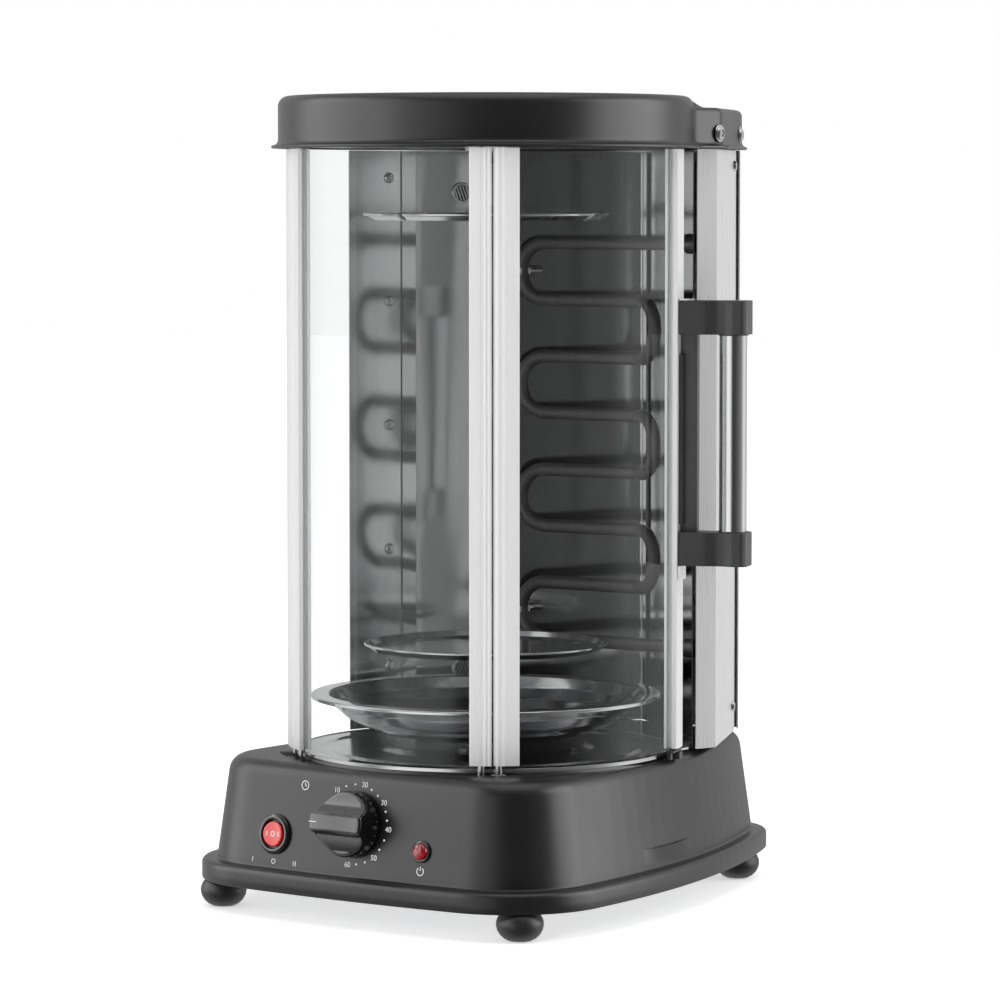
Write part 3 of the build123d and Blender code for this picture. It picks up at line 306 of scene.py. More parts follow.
M = {}
M["paint"] = paint("satin_black_paint", (0.0085, 0.0085, 0.0088), 0.34)
M["galv"] = brushed("galvanised_sheet", (0.55, 0.56, 0.58), 0.42, 0.9)
M["rubber"] = plastic("black_rubber", (0.012, 0.012, 0.012), 0.42, 1400, 0.00004)
M["screw"] = brushed("screw_steel", (0.62, 0.61, 0.60), 0.2, 1.0, "z", 0.000008, 1.0, 3200)
M["white"] = plastic("white_plastic", (0.7, 0.69, 0.66), 0.45)
M["polished"] = brushed("spun_polished_steel", (0.66, 0.66, 0.67), 0.13, 1.0, "spun", 0.000008, 1.6, 1500)
M["pan"] = brushed("floor_pan_steel", (0.60, 0.60, 0.61), 0.17, 1.0, "spun", 0.00001, 1.4, 1300)
M["spindle"] = brushed("spindle_steel", (0.55, 0.55, 0.56), 0.16, 1.0, "z")
M["mirror"] = mirror_mat("mirror_sheet", (0.50, 0.50, 0.505), 0.085, 0.0011)
M["wing"] = mirror_mat("side_mirror_sheet", (0.56, 0.56, 0.565), 0.12, 0.0011)
M["alu"] = brushed("anodised_aluminium", (0.80, 0.80, 0.80), 0.42, 0.25, "z", 0.000012, 0.7, 2400)
M["cover"] = brushed("pale_cover_sheet", (0.80, 0.80, 0.81), 0.30, 0.55, "z", 0.000010, 0.7, 1800, 0.0002)
M["alu_bright"] = brushed("bright_aluminium", (0.74, 0.74, 0.74), 0.24, 0.9, "z")
M["sheath"] = brushed("element_sheath", (0.085, 0.083, 0.082), 0.36, 0.55, "z", 0.00002, 3.0, 900)
M["ceramic"] = plastic("black_ceramic", (0.02, 0.02, 0.02), 0.4, 900, 0.00004)
M["glass"] = glass_mat("clear_glass", (0.985, 0.992, 0.988), 0.022, 0.55)
M["edge"] = glass_mat("glass_edge", (0.72, 0.86, 0.80), 0.05, 0.6)
M["black"] = plastic("matt_black_plastic", (0.028, 0.028, 0.029), 0.40, 2600, 0.00005)
M["gloss"] = plastic("gloss_black_plastic", (0.006, 0.006, 0.0065), 0.16, 1500, 0.000002, 0.6)
M["bar"] = brushed("brushed_handle_bar", (0.70, 0.70, 0.71), 0.20, 1.0, "z", 0.000012, 1.2, 3000)
M["red"] = plastic("red_rocker_plastic", (0.54, 0.024, 0.021), 0.30, 1500, 0.000008, 0.3)
M["ink"] = plastic("white_ink", (0.80, 0.80, 0.80), 0.5)
M["grey_plate"] = plastic("dark_grey_plastic", (0.064, 0.064, 0.066), 0.42, 2400, 0.00004)


def lens_mat():
    m = Mat("red_lamp_lens", (0.36, 0.004, 0.008), 0.10, spec=0.6, coat=0.8, coat_rough=0.03)
    n = m.noise(m.co, 500, 2)
    m.tint(n, 0.35, 0.65, (0.20, 0.002, 0.005), (0.45, 0.006, 0.010))
    m.b.inputs["Transmission Weight"].default_value = 0.2
    return m.m


M["lens"] = lens_mat()

CAD_MATS = dict(
    base_shell="paint", base_plate="galv", feet="rubber", base_screws="screw", gear_motor="galv", motor_bracket="galv",
    shaft_bush="white", floor_pan="pan", reflector_left="mirror", reflector_right="mirror", seam_strip="mirror",
    vent_inserts="alu_bright", left_wing="wing", wing_screws="screw", side_cover_right="cover", side_cover_left="cover",
    back_cover="cover", cover_screws="screw", heating_element="sheath", element_bushings="ceramic", element_clips="screw",
    post_left_inner="alu", post_left_outer="alu", post_right_inner="alu", post_studs="screw", front_glass="glass",
    left_glass="glass", hinge_bushes="white", door_catch="black", cap="paint", cap_screws="screw", ceiling_plate="galv",
    top_bush="white", timer_body="white", switch_body="gloss", lamp_bezel="gloss", lamp_lens="lens", cable_gland="black",
    terminal_block="white", drive_shaft="screw", tray_hub="polished", drip_tray="polished", spindle="spindle",
    lower_disc="polished", upper_disc="polished", disc_collars="spindle", door_hinge_post="alu", door_pins="screw",
    door_glass="glass", door_end_post="alu", handle_plate="grey_plate", handle_bracket_lower="black",
    handle_bracket_upper="black", handle_bar="bar", handle_screws="screw", latch_tab="alu_bright", catch_striker="black",
    timer_shaft="screw", timer_knob="gloss", switch_rocker="red")
for n, o in NODES.items():
    o.data.materials.clear()
    o.data.materials.append(M[CAD_MATS.get(n, "black")])
    for p in o.data.polygons:
        p.material_index = 0

# =====================================================================
# Mesh helpers
# =====================================================================


def finish_mesh(name, me, mat, body, nodes=(), smooth=35, bevel=0.0, segments=3, angle=34):
    bm = bmesh.new()
    bm.from_mesh(me)
    bmesh.ops.remove_doubles(bm, verts=bm.verts, dist=2e-7)
    bmesh.ops.dissolve_degenerate(bm, dist=1e-7, edges=bm.edges)
    bmesh.ops.recalc_face_normals(bm, faces=bm.faces)
    bm.to_mesh(me)
    bm.free()
    o = bpy.data.objects.new(name, me)
    scene.collection.objects.link(o)
    me.materials.append(M[mat])
    me.shade_smooth()
    me.set_sharp_from_angle(angle=radians(smooth))
    if bevel:
        b = o.modifiers.new("edge_round", "BEVEL")
        b.width = bevel * MM
        b.segments = segments
        b.limit_method = "ANGLE"
        b.angle_limit = radians(angle)
        b.harden_normals = True
        b.use_clamp_overlap = True
    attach(o, body)
    if nodes:
        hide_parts(*nodes)
    return o


def mesh_of(name, verts, faces):
    me = bpy.data.meshes.new(name)
    me.from_pydata([tuple(v) for v in verts], [], faces)
    return me


def arc(cx, cy, r, a0, a1, n):
    return [(cx + r * cos(radians(a0 + (a1 - a0) * i / n)), cy + r * sin(radians(a0 + (a1 - a0) * i / n))) for i in range(n + 1)]


def rounded(points, radii, n=5, closed=True):
    """Polyline with each corner rounded; radii is one number or one per point."""
    if not hasattr(radii, "__len__"):
        radii = [radii] * len(points)
    out, k = [], len(points)
    for i, (x, y) in enumerate(points):
        if (not closed and i in (0, k - 1)) or radii[i] <= 0:
            out.append((x, y))
            continue
        ax, ay = points[i - 1]
        bx, by = points[(i + 1) % k]
        la, lb = hypot(ax - x, ay - y), hypot(bx - x, by - y)
        ux, uy, vx, vy = (ax - x) / la, (ay - y) / la, (bx - x) / lb, (by - y) / lb
        ca = max(-1, min(1, ux * vx + uy * vy))
        if abs(ca) > 0.9995:
            out.append((x, y))
            continue
        half = 0.5 * atan2(sqrt(1 - ca * ca), ca)
        d = min(radii[i] / tan(half), la * 0.49, lb * 0.49)
        r = d * tan(half)
        p0, p1 = (x + ux * d, y + uy * d), (x + vx * d, y + vy * d)
        mx, my = ux + vx, uy + vy
        ml = hypot(mx, my)
        cx, cy = x + mx / ml * r / sin(half), y + my / ml * r / sin(half)
        t0, t1 = atan2(p0[1] - cy, p0[0] - cx), atan2(p1[1] - cy, p1[0] - cx)
        while t1 - t0 > pi:
            t1 -= 2 * pi
        while t1 - t0 < -pi:
            t1 += 2 * pi
        out += [(cx + r * cos(t0 + (t1 - t0) * j / n), cy + r * sin(t0 + (t1 - t0) * j / n)) for j in range(n + 1)]
    return out


def lathe_mesh(name, prof, seg=128, closed=True, place=None):
    """Turned body: (radius, height) profile about the spindle, or about the axis that place gives."""
    place = place or (lambda x, y, z: P(x, y, z))
    verts, faces, rows = [], [], []
    for r, z in prof:
        if r < 1e-4:
            rows.append([len(verts)] * seg)
            verts.append(place(0, 0, z))
        else:
            rows.append(list(range(len(verts), len(verts) + seg)))
            verts += [place(r * cos(2 * pi * i / seg), r * sin(2 * pi * i / seg), z) for i in range(seg)]
    n = len(rows)
    for j in range(n if closed else n - 1):
        a, b = rows[j], rows[(j + 1) % n]
        for i in range(seg):
            k = (i + 1) % seg
            f = [a[i], a[k], b[k], b[i]]
            f = [v for q, v in enumerate(f) if v not in f[:q]]
            if len(f) > 2:
                faces.append(f)
    return mesh_of(name, verts, faces)


def lathe(name, prof, mat, body, nodes=(), seg=128, smooth=40, closed=True, place=None, bevel=0.0):
    return finish_mesh(name, lathe_mesh(name, prof, seg, closed, place), mat, body, nodes, smooth, bevel)


def prism_mesh(name, pts, z0, z1, rows=1, place=None):
    place = place or (lambda x, y, z: P(x, y, z))
    n = len(pts)
    verts = [place(x, y, z0 + (z1 - z0) * j / rows) for j in range(rows + 1) for x, y in pts]
    faces = [[j * n + i, j * n + (i + 1) % n, (j + 1) * n + (i + 1) % n, (j + 1) * n + i] for j in range(rows) for i in range(n)]
    faces += [list(range(n))[::-1], [rows * n + i for i in range(n)]]
    return mesh_of(name, verts, faces)


def prism(name, pts, z0, z1, mat, body, nodes=(), bevel=0.3, smooth=30, rows=1, angle=34, place=None, segments=3):
    return finish_mesh(name, prism_mesh(name, pts, z0, z1, rows, place), mat, body, nodes, smooth, bevel, segments, angle)


def tube_mesh(name, pts, radius, sides=20, closed_ends=True):
    """Round bar swept along points in metres, without twist."""
    pts = [Vector(p) for p in pts]
    tan_ = [(pts[min(i + 1, len(pts) - 1)] - pts[max(i - 1, 0)]).normalized() for i in range(len(pts))]
    up = Vector((0, 0, 1)) if abs(tan_[0].z) < 0.9 else Vector((1, 0, 0))
    nrm = (up - tan_[0] * up.dot(tan_[0])).normalized()
    verts, faces = [], []
    for i, p in enumerate(pts):
        if i:
            nrm = (nrm - tan_[i] * nrm.dot(tan_[i])).normalized()
        b = tan_[i].cross(nrm)
        verts += [p + (nrm * cos(2 * pi * k / sides) + b * sin(2 * pi * k / sides)) * radius for k in range(sides)]
    for i in range(len(pts) - 1):
        for k in range(sides):
            l = (k + 1) % sides
            faces.append([i * sides + k, i * sides + l, (i + 1) * sides + l, (i + 1) * sides + k])
    if closed_ends:
        faces += [list(range(sides))[::-1], [(len(pts) - 1) * sides + k for k in range(sides)]]
    return mesh_of(name, verts, faces)


def fillet_path(corners, radii, n=10):
    pts = [Vector(corners[0])]
    for i in range(1, len(corners) - 1):
        p, a, b = Vector(corners[i]), Vector(corners[i - 1]), Vector(corners[i + 1])
        u, v = (a - p).normalized(), (b - p).normalized()
        ang = u.angle(v)
        d = radii[i - 1] / tan(ang / 2)
        c = p + (u + v).normalized() * (radii[i - 1] / sin(ang / 2))
        s, e = p + u * d - c, p + v * d - c
        w = s.angle(e)
        for k in range(n + 1):
            t = k / n
            pts.append(c + (s * sin((1 - t) * w) + e * sin(t * w)) / sin(w))
    pts.append(Vector(corners[-1]))
    return pts


def cut(o, cutters):
    """Takes the cutter meshes out of o, for good."""
    bm = bmesh.new()
    for me in cutters:
        bm.from_mesh(me)
    bmesh.ops.recalc_face_normals(bm, faces=bm.faces)
    cm = bpy.data.meshes.new("cutter")
    bm.to_mesh(cm)
    bm.free()
    c = bpy.data.objects.new("cutter", cm)
    scene.collection.objects.link(c)
    md = o.modifiers.new("cut", "BOOLEAN")
    md.operation, md.object, md.solver = "DIFFERENCE", c, "EXACT"
    md.use_self = True
    bpy.context.view_layer.update()
    ev = o.evaluated_get(bpy.context.evaluated_depsgraph_get())
    me = bpy.data.meshes.new_from_object(ev)
    o.modifiers.remove(md)
    mats = list(o.data.materials)
    o.data = me
    me.materials.clear()
    for m_ in mats:
        me.materials.append(m_)
    for p_ in me.polygons:
        p_.material_index = 0
    bpy.data.objects.remove(c)
    return o


def sector_pts(r0, r1, a0, a1, n=24):
    return [pol(r1, a0 + (a1 - a0) * i / n) for i in range(n + 1)] + [pol(r0, a1 + (a0 - a1) * i / n) for i in range(n + 1)]


def strip_pts(points, t, bend=2.0, n=5):
    """Folded sheet in plan with rounded bends: outer line and inner line."""
    dirs = []
    for (x0, y0), (x1, y1) in zip(points, points[1:]):
        l = hypot(x1 - x0, y1 - y0)
        dirs.append(((x1 - x0) / l, (y1 - y0) / l))
    outer = []
    for i, (x, y) in enumerate(points):
        d0, d1 = dirs[max(i - 1, 0)], dirs[min(i, len(dirs) - 1)]
        n0, n1 = (-d0[1], d0[0]), (-d1[1], d1[0])
        k = t / (1 + n0[0] * n1[0] + n0[1] * n1[1])
        outer.append((x + (n0[0] + n1[0]) * k, y + (n0[1] + n1[1]) * k))
    a = rounded(points, bend, n, closed=False)
    b = rounded(outer, bend + abs(t), n, closed=False)
    return a + b[::-1]


def framed(o, x, n):
    """place() for a local frame: o origin in metres, x axis, n normal."""
    n = Vector(n).normalized()
    x = (Vector(x) - n * Vector(x).dot(n)).normalized()
    y = n.cross(x)
    o = Vector(o)
    return lambda a, b, c: o + (x * a + y * b + n * c) * MM


def head_mesh(name, place, r, h, recess=0.9, arm=0.62, wid=0.2, seg=40, rings=14, washer=None):
    """Pan head with a cross recess, its underside at height 0 of place."""
    verts, faces, rows = [], [], []
    prof = [(r * k / rings, None) for k in range(rings + 1)]
    for j, (q, _) in enumerate(prof):
        ring = []
        for i in range(seg):
            a = 2 * pi * i / seg
            x, y = q * cos(a), q * sin(a)
            t = q / r
            z = h * (1 - 0.42 * t * t - 0.35 * t ** 8)
            m = min(max(abs(x), abs(y)), 99), min(abs(x), abs(y))
            inside = max(0.0, min(1.0, (arm * r - m[0]) / (0.14 * r))) * max(0.0, min(1.0, (wid * r + 0.10 * (arm * r - m[0]) - m[1]) / (0.10 * r)))
            z -= recess * inside
            ring.append(len(verts))
            verts.append(place(x, y, z))
            if j == 0:
                ring = [ring[0]] * seg
                break
        rows.append(ring)
    ring = list(range(len(verts), len(verts) + seg))
    verts += [place(r * cos(2 * pi * i / seg), r * sin(2 * pi * i / seg), 0) for i in range(seg)]
    rows.append(ring)
    for a, b in zip(rows, rows[1:]):
        for i in range(seg):
            k = (i + 1) % seg
            f = [a[i], a[k], b[k], b[i]]
            f = [v for q, v in enumerate(f) if v not in f[:q]]
            if len(f) > 2:
                faces.append(f)
    faces.append(rows[-1][::-1])
    return mesh_of(name, verts, faces)


def joined(name, meshes):
    bm = bmesh.new()
    for me in meshes:
        bm.from_mesh(me)
    out = bpy.data.meshes.new(name)
    bm.to_mesh(out)
    bm.free()
    for me in meshes:
        bpy.data.meshes.remove(me)
    return out

# =====================================================================
# Camera, world, lights, floor
# =====================================================================
AZ = 36.003
CAM_D, CAM_H, CAM_PITCH, CAM_YAW, CAM_LENS = 2613.7, 414.95, 3.9493, 0.17965, 161.04
cam_data = bpy.data.cameras.new("camera")
cam = bpy.data.objects.new("camera", cam_data)
scene.collection.objects.link(cam)
scene.camera = cam
cam_data.sensor_width = 36
cam_data.lens = CAM_LENS
cam_data.clip_start, cam_data.clip_end = 0.1, 50
cx, cy = pol(CAM_D, AZ)
cam.location = P(cx, cy, CAM_H)
fwd = Vector((-sin(radians(AZ)), cos(radians(AZ)), 0))
right = Vector((cos(radians(AZ)), sin(radians(AZ)), 0))
look = (fwd * cos(radians(CAM_YAW)) + right * sin(radians(CAM_YAW))) * cos(radians(CAM_PITCH)) - Vector((0, 0, 1)) * sin(radians(CAM_PITCH))
cam.rotation_mode = "QUATERNION"
cam.rotation_quaternion = look.to_track_quat("-Z", "Y")

scene.view_settings.view_transform = "Standard"
scene.view_settings.look = "None"

world = bpy.data.worlds.new("studio")
scene.world = world
world.use_nodes = True
wt = world.node_tree
for n_ in list(wt.nodes):
    wt.nodes.remove(n_)
w_out = wt.nodes.new("ShaderNodeOutputWorld")
w_cam = wt.nodes.new("ShaderNodeBackground")
w_cam.inputs["Color"].default_value = (1, 1, 1, 1)
w_cam.inputs["Strength"].default_value = 1.0
w_env = wt.nodes.new("ShaderNodeBackground")
w_env.inputs["Strength"].default_value = 1.0
w_mix = wt.nodes.new("ShaderNodeMixShader")
w_lp = wt.nodes.new("ShaderNodeLightPath")
w_tc = wt.nodes.new("ShaderNodeTexCoord")
w_dot = wt.nodes.new("ShaderNodeVectorMath"); w_dot.operation = "DOT_PRODUCT"
w_dot.inputs[1].default_value = tuple(fwd)
w_ramp = wt.nodes.new("ShaderNodeValToRGB")
w_map = wt.nodes.new("ShaderNodeMapRange")
w_map.inputs["From Min"].default_value = -1
w_map.inputs["From Max"].default_value = 1
wt.links.new(w_tc.outputs["Generated"], w_dot.inputs[0])
wt.links.new(w_dot.outputs["Value"], w_map.inputs["Value"])
wt.links.new(w_map.outputs["Result"], w_ramp.inputs["Fac"])
cr = w_ramp.color_ramp
STOPS = [(0.0, 0.05), (0.165, 0.18), (0.30, 0.27), (0.396, 0.45), (0.50, 0.92), (0.59, 1.05), (0.80, 0.70), (1.0, 0.60)]
cr.elements[0].position, cr.elements[0].color = STOPS[0][0], (*[STOPS[0][1]] * 3, 1)
cr.elements[1].position, cr.elements[1].color = STOPS[-1][0], (*[STOPS[-1][1]] * 3, 1)
for pos_, val_ in STOPS[1:-1]:
    cr.elements.new(pos_).color = (val_, val_, val_, 1)
wt.links.new(w_ramp.outputs["Color"], w_env.inputs["Color"])
wt.links.new(w_lp.outputs["Is Camera Ray"], w_mix.inputs[0])
w_side = wt.nodes.new("ShaderNodeVectorMath"); w_side.operation = "DOT_PRODUCT"
w_side.inputs[1].default_value = (*pol(1, AZ - 42), 0)
w_lobe = wt.nodes.new("ShaderNodeMapRange"); w_lobe.interpolation_type = "SMOOTHSTEP"
w_lobe.inputs["From Min"].default_value = 0.86
w_lobe.inputs["From Max"].default_value = 0.975
w_lobe.inputs["To Max"].default_value = 1.3
w_lobe_bg = wt.nodes.new("ShaderNodeBackground")
w_add = wt.nodes.new("ShaderNodeAddShader")
wt.links.new(w_tc.outputs["Generated"], w_side.inputs[0])
wt.links.new(w_side.outputs["Value"], w_lobe.inputs["Value"])
wt.links.new(w_lobe.outputs["Result"], w_lobe_bg.inputs["Strength"])
wt.links.new(w_env.outputs[0], w_add.inputs[0])
wt.links.new(w_lobe_bg.outputs[0], w_add.inputs[1])
wt.links.new(w_add.outputs[0], w_mix.inputs[1])
wt.links.new(w_cam.outputs[0], w_mix.inputs[2])
wt.links.new(w_mix.outputs[0], w_out.inputs["Surface"])


def softbox(name, rel_az, elev, dist, w, h, power, glossy=True, spread=180, aim=(0, 0, 250)):
    """Area light at an azimuth relative to the camera's, aimed at the oven."""
    d = bpy.data.lights.new(name, "AREA")
    d.shape = "RECTANGLE"
    d.size, d.size_y = w, h
    d.energy = power
    d.spread = radians(spread)
    o = bpy.data.objects.new(name, d)
    scene.collection.objects.link(o)
    a = AZ + rel_az
    x, y = pol(dist * cos(radians(elev)), a)
    o.location = P(x, y, aim[2] + dist * sin(radians(elev)))
    o.rotation_mode = "QUATERNION"
    o.rotation_quaternion = (P(*aim) - o.location).to_track_quat("-Z", "Y")
    o.visible_glossy = glossy
    return o


DARK_LIGHTS = [softbox("box_left", -84, 16, 1700, 2.2, 1.9, 30),
               softbox("box_right", 84, 12, 1600, 1.5, 1.7, 26)]
PALE_LIGHTS = [softbox("fill_front", -24, 16, 2600, 1.6, 1.6, 20, glossy=False),
               softbox("fill_right", 82, 20, 2400, 1.2, 1.6, 15, glossy=False)]
softbox("top_soft", 10, 72, 1700, 1.5, 1.5, 7)

floor_me = mesh_of("studio_floor", [(-8, -8, 0), (8, -8, 0), (8, 8, 0), (-8, 8, 0)], [[0, 1, 2, 3]])
floor = bpy.data.objects.new("studio_floor", floor_me)
scene.collection.objects.link(floor)
fm = bpy.data.materials.new("pale_floor")
fm.use_nodes = True
fnt = fm.node_tree
fb = fnt.nodes["Principled BSDF"]
fb.inputs["Base Color"].default_value = (0.95, 0.95, 0.95, 1)
fb.inputs["Roughness"].default_value = 0.9
fb.inputs["Emission Color"].default_value = (1, 1, 1, 1)
fb.inputs["Emission Strength"].default_value = 0.50
floor_me.materials.append(fm)
floor.visible_glossy = False

# =====================================================================
# Base: smooth pressed shell
# =====================================================================
HALF_W, FRONT_Y, FRONT_R, FLANK_Y, FLANK_R, REAR_Y = 134.0, -141.5, 925.0, -60.0, 580.0, 192.0
CORNER_F, CORNER_R = 60.0, 38.0
Z_FL, Z_LEDGE, Z_TOP = zlo("base_shell"), 28.0, zhi("base_shell")


def outline_arcs():
    """The base's plan as tangent arcs: centre, radius and end angles, for one half, front to rear."""
    fc = (0.0, FRONT_Y + FRONT_R)
    d = FRONT_R - CORNER_F
    c1 = (HALF_W - CORNER_F, fc[1] - sqrt(d * d - (HALF_W - CORNER_F) ** 2))
    kc = (HALF_W - FLANK_R, FLANK_Y)
    drop = FLANK_R - sqrt(FLANK_R ** 2 - (REAR_Y - FLANK_Y) ** 2)
    xb = HALF_W - drop
    rr = (xb * xb + 16) / 8.0
    rc = (0.0, REAR_Y + 4 - rr)
    # rear corner: tangent inside the flank's circle and the rear circle
    ra, rb = FLANK_R - CORNER_R, rr - CORNER_R
    dx, dy = rc[0] - kc[0], rc[1] - kc[1]
    dd = hypot(dx, dy)
    a = (ra * ra - rb * rb + dd * dd) / (2 * dd)
    h = sqrt(max(ra * ra - a * a, 0))
    cands = [(kc[0] + a * dx / dd - s * h * dy / dd, kc[1] + a * dy / dd + s * h * dx / dd) for s in (1, -1)]
    c2 = max(cands, key=lambda p: p[1])
    ang = lambda c, p: atan2(p[1] - c[1], p[0] - c[0])
    t1 = ang(fc, c1)
    t2 = ang(kc, c2)
    t3 = ang(rc, c2)
    return [(fc, FRONT_R, -pi / 2, t1, 14), (c1, CORNER_F, t1, 0.0, 16), (None, (HALF_W, c1[1]), (HALF_W, FLANK_Y), 0, 3),
            (kc, FLANK_R, 0.0, t2, 16), (c2, CORNER_R, t2, t3, 14), (rc, rr, t3, pi / 2, 12)]


ARCS = outline_arcs()


def outline_pts(inset):
    half = []
    for c, r, a0, a1, n in ARCS:
        if c is None:
            (x0, y0), (x1, y1) = r, a0
            half += [(x0 - inset, y0 + (y1 - y0) * i / n) for i in range(n)]
        else:
            half += [(c[0] + (r - inset) * cos(a0 + (a1 - a0) * i / n), c[1] + (r - inset) * sin(a0 + (a1 - a0) * i / n)) for i in range(n)]
    top = half[0]
    last = (0.0, REAR_Y + 4 - inset)
    return half + [last] + [(-x, y) for x, y in half[:0:-1]]


def ray_radius(poly, a):
    """Distance from the spindle to a convex outline along plan angle a (degrees from the front)."""
    dx, dy = sin(radians(a)), -cos(radians(a))
    best = None
    n = len(poly)
    for i in range(n):
        (x0, y0), (x1, y1) = poly[i], poly[(i + 1) % n]
        ex, ey = x1 - x0, y1 - y0
        det = dx * ey - dy * ex
        if abs(det) < 1e-12:
            continue
        t = (x0 * ey - y0 * ex) / det
        s = (x0 * dy - y0 * dx) / det
        if t > 0 and -1e-6 <= s <= 1 + 1e-6 and (best is None or t > best):
            best = t
    return best


DRAFT = tan(radians(8.0))


def base_profile():
    """Section of the shell from the flat top outwards and down, as (inset, height)."""
    p = []
    ci, cz, r = 9 + (Z_TOP - 10 - Z_LEDGE) * DRAFT + 10 / cos(radians(8)), Z_TOP - 10, 10.0
    for i in range(15):
        t = radians(90 + (82) * i / 14)
        p.append((ci + r * cos(t), cz + r * sin(t)))
    for z in (70, 60, 50, 40, 33):
        p.append((9 + (z - Z_LEDGE) * DRAFT, z))
    for i in range(5):
        t = i / 4
        p.append((9.18 * (1 - t) + 7.4 * t - 0.55 * 4 * t * (1 - t) * -1, 29.6 - 1.6 * (1 - (1 - t) ** 2)))
    p.append((5.2, Z_LEDGE))
    for i in range(9):
        t = radians(90 + 90 * i / 8)
        p.append((3.2 + 3.2 * cos(t), Z_LEDGE - 3.2 + 3.2 * sin(t)))
    p += [(0, 21), (0, Z_FL + 1.0), (0.3, Z_FL + 0.3), (1.0, Z_FL), (2.6, Z_FL), (2.6, Z_FL + 9.4), (11.8, Z_FL + 9.6), (18, 78), (24, 83.6), (60, 83.8)]
    return p


BP = base_profile()
NT = 480
ANG = [360.0 * i / NT for i in range(NT)]
_tab = {}
for d_ in sorted(set(round(i_, 4) for i_, _ in BP)):
    poly_ = outline_pts(d_)
    _tab[d_] = [ray_radius(poly_, a_) for a_ in ANG]


def height_at(inset):
    """Top surface height where the shell is a function of the inset."""
    for (i0, z0), (i1, z1) in zip(BP, BP[1:19]):
        if i1 <= inset <= i0:
            return z1 + (z0 - z1) * (inset - i1) / max(i0 - i1, 1e-9)
    return Z_TOP if inset > BP[0][0] else BP[18][1]


def step(x, a, b):
    t = max(0.0, min(1.0, (x - a) / (b - a)))
    return t * t * (3 - 2 * t)


CH0, CH1, CHA, CHB = 109.6, 121.5, -47.0, 113.0
fixed = [14.0, 16.5, 30, 60, 90, 104, 108.6, 109.3, 109.65, 109.95] + [110.6 + 0.5 * i for i in range(20)] + [120.6, 120.9, 121.15, 121.5, 121.85, 122.3]
verts, rows = [], []
dkeys = sorted(_tab)
for j, r in enumerate(fixed):
    row = []
    for i, a in enumerate(ANG):
        # inset at this radius from the table of offset outlines
        col = [(_tab[d][i], d) for d in dkeys if d <= 30]
        ins = 60.0
        for (r0, d0), (r1, d1) in zip(col, col[1:]):
            if r1 <= r <= r0:
                ins = d1 + (d0 - d1) * (r - r1) / max(r0 - r1, 1e-9)
                break
        if r > col[0][0]:
            ins = 0
        z = height_at(ins) if ins < BP[0][0] else Z_TOP
        aa = a if a <= 180 else a - 360
        mask = step(r, CH0 - 0.05, CH0 + 0.35) * (1 - step(r, CH1 - 0.4, CH1 + 0.05)) * step(aa, CHA - 0.5, CHA + 0.2) * (1 - step(aa, CHB - 0.2, CHB + 0.5))
        z = z + (min(z, Z_TOP - 2.0) - z) * mask
        row.append(len(verts))
        verts.append(P(*pol(r, a), z))
    rows.append(row)
RL = fixed[-1]
for q, (ins, z) in enumerate(BP):
    if q >= 36:
        pass
    row = []
    for i, a in enumerate(ANG):
        r = _tab[round(ins, 4)][i]
        zz = z
        if q < 19 and r < RL + 0.05:
            # this ring lies inside the fixed rings: slide it out onto the last one's inset
            r = RL + 0.0022 * (q + 1)
            col = [(_tab[d][i], d) for d in dkeys if d <= 30]
            di = 60.0
            for (r0, d0), (r1, d1) in zip(col, col[1:]):
                if r1 <= r <= r0:
                    di = d1 + (d0 - d1) * (r - r1) / max(r0 - r1, 1e-9)
                    break
            zz = height_at(di) if di < BP[0][0] else Z_TOP
        row.append(len(verts))
        verts.append(P(*pol(r, a), zz))
    rows.append(row)
for r, z in ((30.0, 83.8), (14.0, 83.8)):
    rows.append([len(verts) + i for i in range(NT)])
    verts += [P(*pol(r, a), z) for a in ANG]
faces = []
for a_, b_ in zip(rows, rows[1:] + rows[:1]):
    for i in range(NT):
        k = (i + 1) % NT
        faces.append([a_[i], a_[k], b_[k], b_[i]])
base = finish_mesh("base_housing", mesh_of("base_housing", verts, faces), "paint", "root", ("base_shell",), smooth=40)

# =====================================================================
# Cap: dome that runs down to the rear shelf, with a flared lip
# =====================================================================
CAP_R = 121.0
ZC0, ZC1, ZSH = zlo("cap"), zhi("cap"), zhi("cap") - 6.5


def rear_poly(g):
    pts = [(0, 20), (104.0 + g, 40), (108.6 + g, 84.5 + g * 0.2), (74.8 + g, 157.4 + g * 0.5), (64.5 + g, 175.5 + g), (0, 178.5 + g),
           (-64.5 - g, 175.5 + g), (-74.8 - g, 157.4 + g * 0.5), (-108.6 - g, 84.5 + g * 0.2), (-104.0 - g, 40)]
    return rounded(pts, [0, 0, 9, 9, 9, 0, 9, 9, 9, 0], 10)


CN = 540
CANG = [360.0 * i / CN for i in range(CN)]
rp0 = rear_poly(0.0)


def smax(a, b, k):
    h = max(k - abs(a - b), 0.0) / k
    return max(a, b) + h * h * k * 0.25


